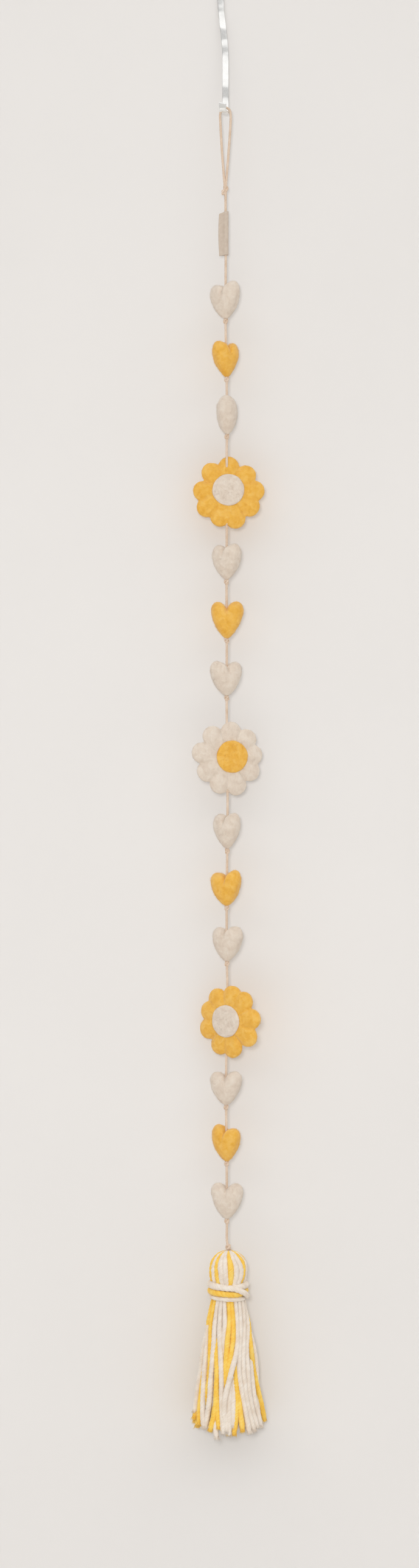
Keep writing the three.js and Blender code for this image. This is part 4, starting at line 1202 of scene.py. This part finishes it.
# %% [markdown]
# ## The floor, the wall and the light
#
# The garland hangs just in front of a pale door, so a plain pale wall stands behind it and catches its faint
# shadows. Only the wall's front is solid to the eye: from behind it is clear, so that the garland's back can
# be looked at too. The pale room lights everything softly. A small lamp close to the camera, a little to the
# left and above it, throws the shadows, and two weak, wide lamps behind the wall light the garland's back.

# %% A pale wall and floor
UNEVEN = 0.985               # how bright the paint's darker patches are beside the lighter ones


def pale_paint(name, colour, clear_behind):
    """Matt paint, very slightly uneven; with clear_behind only its front is there."""
    material, add, to_shader = new_finish(name, Specular_IOR_Level=0.25)
    place = add("ShaderNodeTexCoord").outputs["Object"]
    brushed = add("ShaderNodeTexNoise", {"Vector": place, "Scale": 6, "Detail": 4}).outputs["Fac"]
    low = tuple(part * UNEVEN for part in colour)
    to_shader("Base Color", tinted(add, brushed, [(0.35, low), (0.65, colour)]))
    roughened(add, to_shader, brushed, 0.55, 0.75)
    if clear_behind:
        side = add("ShaderNodeNewGeometry").outputs["Backfacing"]
        front = add("ShaderNodeMath", {0: 1.0, 1: side}, operation="SUBTRACT").outputs["Value"]
        to_shader("Alpha", front)
    return material


def stage_piece(name, points, faces, paint):
    """A plain painted mesh that isn't part of the garland, with its points in metres."""
    mesh = bpy.data.meshes.new(name)
    mesh.from_pydata(points, [], faces)
    mesh.polygons.foreach_set("use_smooth", [True] * len(faces))
    mesh.materials.append(paint)
    piece = bpy.data.objects.new(name, mesh)
    bpy.context.collection.objects.link(piece)
    return piece


# the wall's depth is that of a door's face at the hook, and drops back smoothly to make room for the tassel
WALL = {"at_hook": -17.6, "below": -9.2, "from": 100, "to": 420, "steps": 24, "top": 0.6, "foot": 1450,
        "half": 1900}
wall_drops = np.array([WALL["top"], *np.linspace(WALL["from"], WALL["to"], WALL["steps"]), WALL["foot"]])
back = smooth_part(wall_drops, WALL["from"], WALL["to"])
wall_depths = WALL["at_hook"] + (WALL["below"] - WALL["at_hook"]) * back
wall_points = np.array([
    (side * WALL["half"], y, -drop) for y, drop in zip(wall_depths, wall_drops) for side in (-1, 1)
])
wall_faces = [(2 * i, 2 * i + 2, 2 * i + 3, 2 * i + 1) for i in range(len(wall_drops) - 1)]
wall_paint = pale_paint("wall_paint", (0.805, 0.785, 0.77), True)
wall = stage_piece("wall", (wall_points * MM).tolist(), wall_faces, wall_paint)
wall.visible_shadow = False

# the floor is so wide, in metres, that no edge of it shows near the garland
FLOOR = {"half": 90, "z": -1.45}
sides = ((-1, -1), (1, -1), (1, 1), (-1, 1))
corners = [(x * FLOOR["half"], y * FLOOR["half"], FLOOR["z"]) for x, y in sides]
floor_paint = pale_paint("floor_paint", (0.72, 0.705, 0.68), False)
floor = stage_piece("floor", corners, [(0, 1, 2, 3)], floor_paint)
print("wall faces", tuple(wall.data.polygons[0].normal))

# %% Soft studio light
LIGHTS = [
    # name, place in metres, how wide, power, and the point that it faces
    ("key", (-0.13, -2.55, -0.5), 0.24, 15.8, (0, 0, -0.62)),
    ("back_left", (-1.7, 2.4, 0.9), 1.8, 8, (0, 0, -0.6)),
    ("back_right", (2.0, 2.2, 0.6), 1.8, 5, (0, 0, -0.6)),
]
for name, place, wide, power, target in LIGHTS:
    lamp = bpy.data.lights.new(name, "AREA")
    lamp.size = wide
    lamp.energy = power
    holder = bpy.data.objects.new(name, lamp)
    holder.location = place
    holder.rotation_euler = (Vector(target) - Vector(place)).to_track_quat("-Z", "Y").to_euler()
    holder.visible_glossy = False            # the steel mirrors the room alone, as under a large soft light
    bpy.context.collection.objects.link(holder)

# the room is brighter above than at eye level, which puts the light bands into the bent steel; a grey screen
# stands to the left and one to the right, which draws the thin grey lines along the strip's rounded edges
ROOM = [(0.0, 0.62), (0.67, 0.62), (0.74, 1.12), (1.0, 1.12)]
SCREENS = [(0.62, 1.0), (0.78, 0.55), (0.9, 0.55), (0.97, 0.95)]
WARM, WHITE = (1, 0.99, 0.975), (1, 1, 1)
KINDS = ("TexCoord", "SeparateXYZ", "MapRange", "Math", "ValToRGB", "ValToRGB")


def graded(ramp, stops, colour):
    """Gives a ramp these brightnesses at these places, all in one colour."""
    set_stops(ramp, [(place, [bright * part for part in colour]) for place, bright in stops])


world = bpy.data.worlds.new("studio")
world.use_nodes = True
nodes, links = world.node_tree.nodes, world.node_tree.links
heading, ways, upward, aside, height_ramp, side_ramp = (nodes.new(f"ShaderNode{kind}") for kind in KINDS)
aside.operation = "ABSOLUTE"
upward.inputs["From Min"].default_value = -1
graded(height_ramp, ROOM, WARM)
graded(side_ramp, SCREENS, WHITE)
links.new(heading.outputs["Generated"], ways.inputs["Vector"])
links.new(ways.outputs["Z"], upward.inputs["Value"])
links.new(upward.outputs["Result"], height_ramp.inputs["Fac"])
links.new(height_ramp.outputs["Color"], nodes["Background"].inputs["Color"])
links.new(ways.outputs["X"], aside.inputs[0])
links.new(aside.outputs["Value"], side_ramp.inputs["Fac"])
links.new(side_ramp.outputs["Color"], nodes["Background"].inputs["Strength"])
bpy.context.scene.world = world
bpy.context.scene.view_settings.view_transform = "Standard"
print(len(LIGHTS), "lights")

# %% The end
bpy.context.view_layer.update()
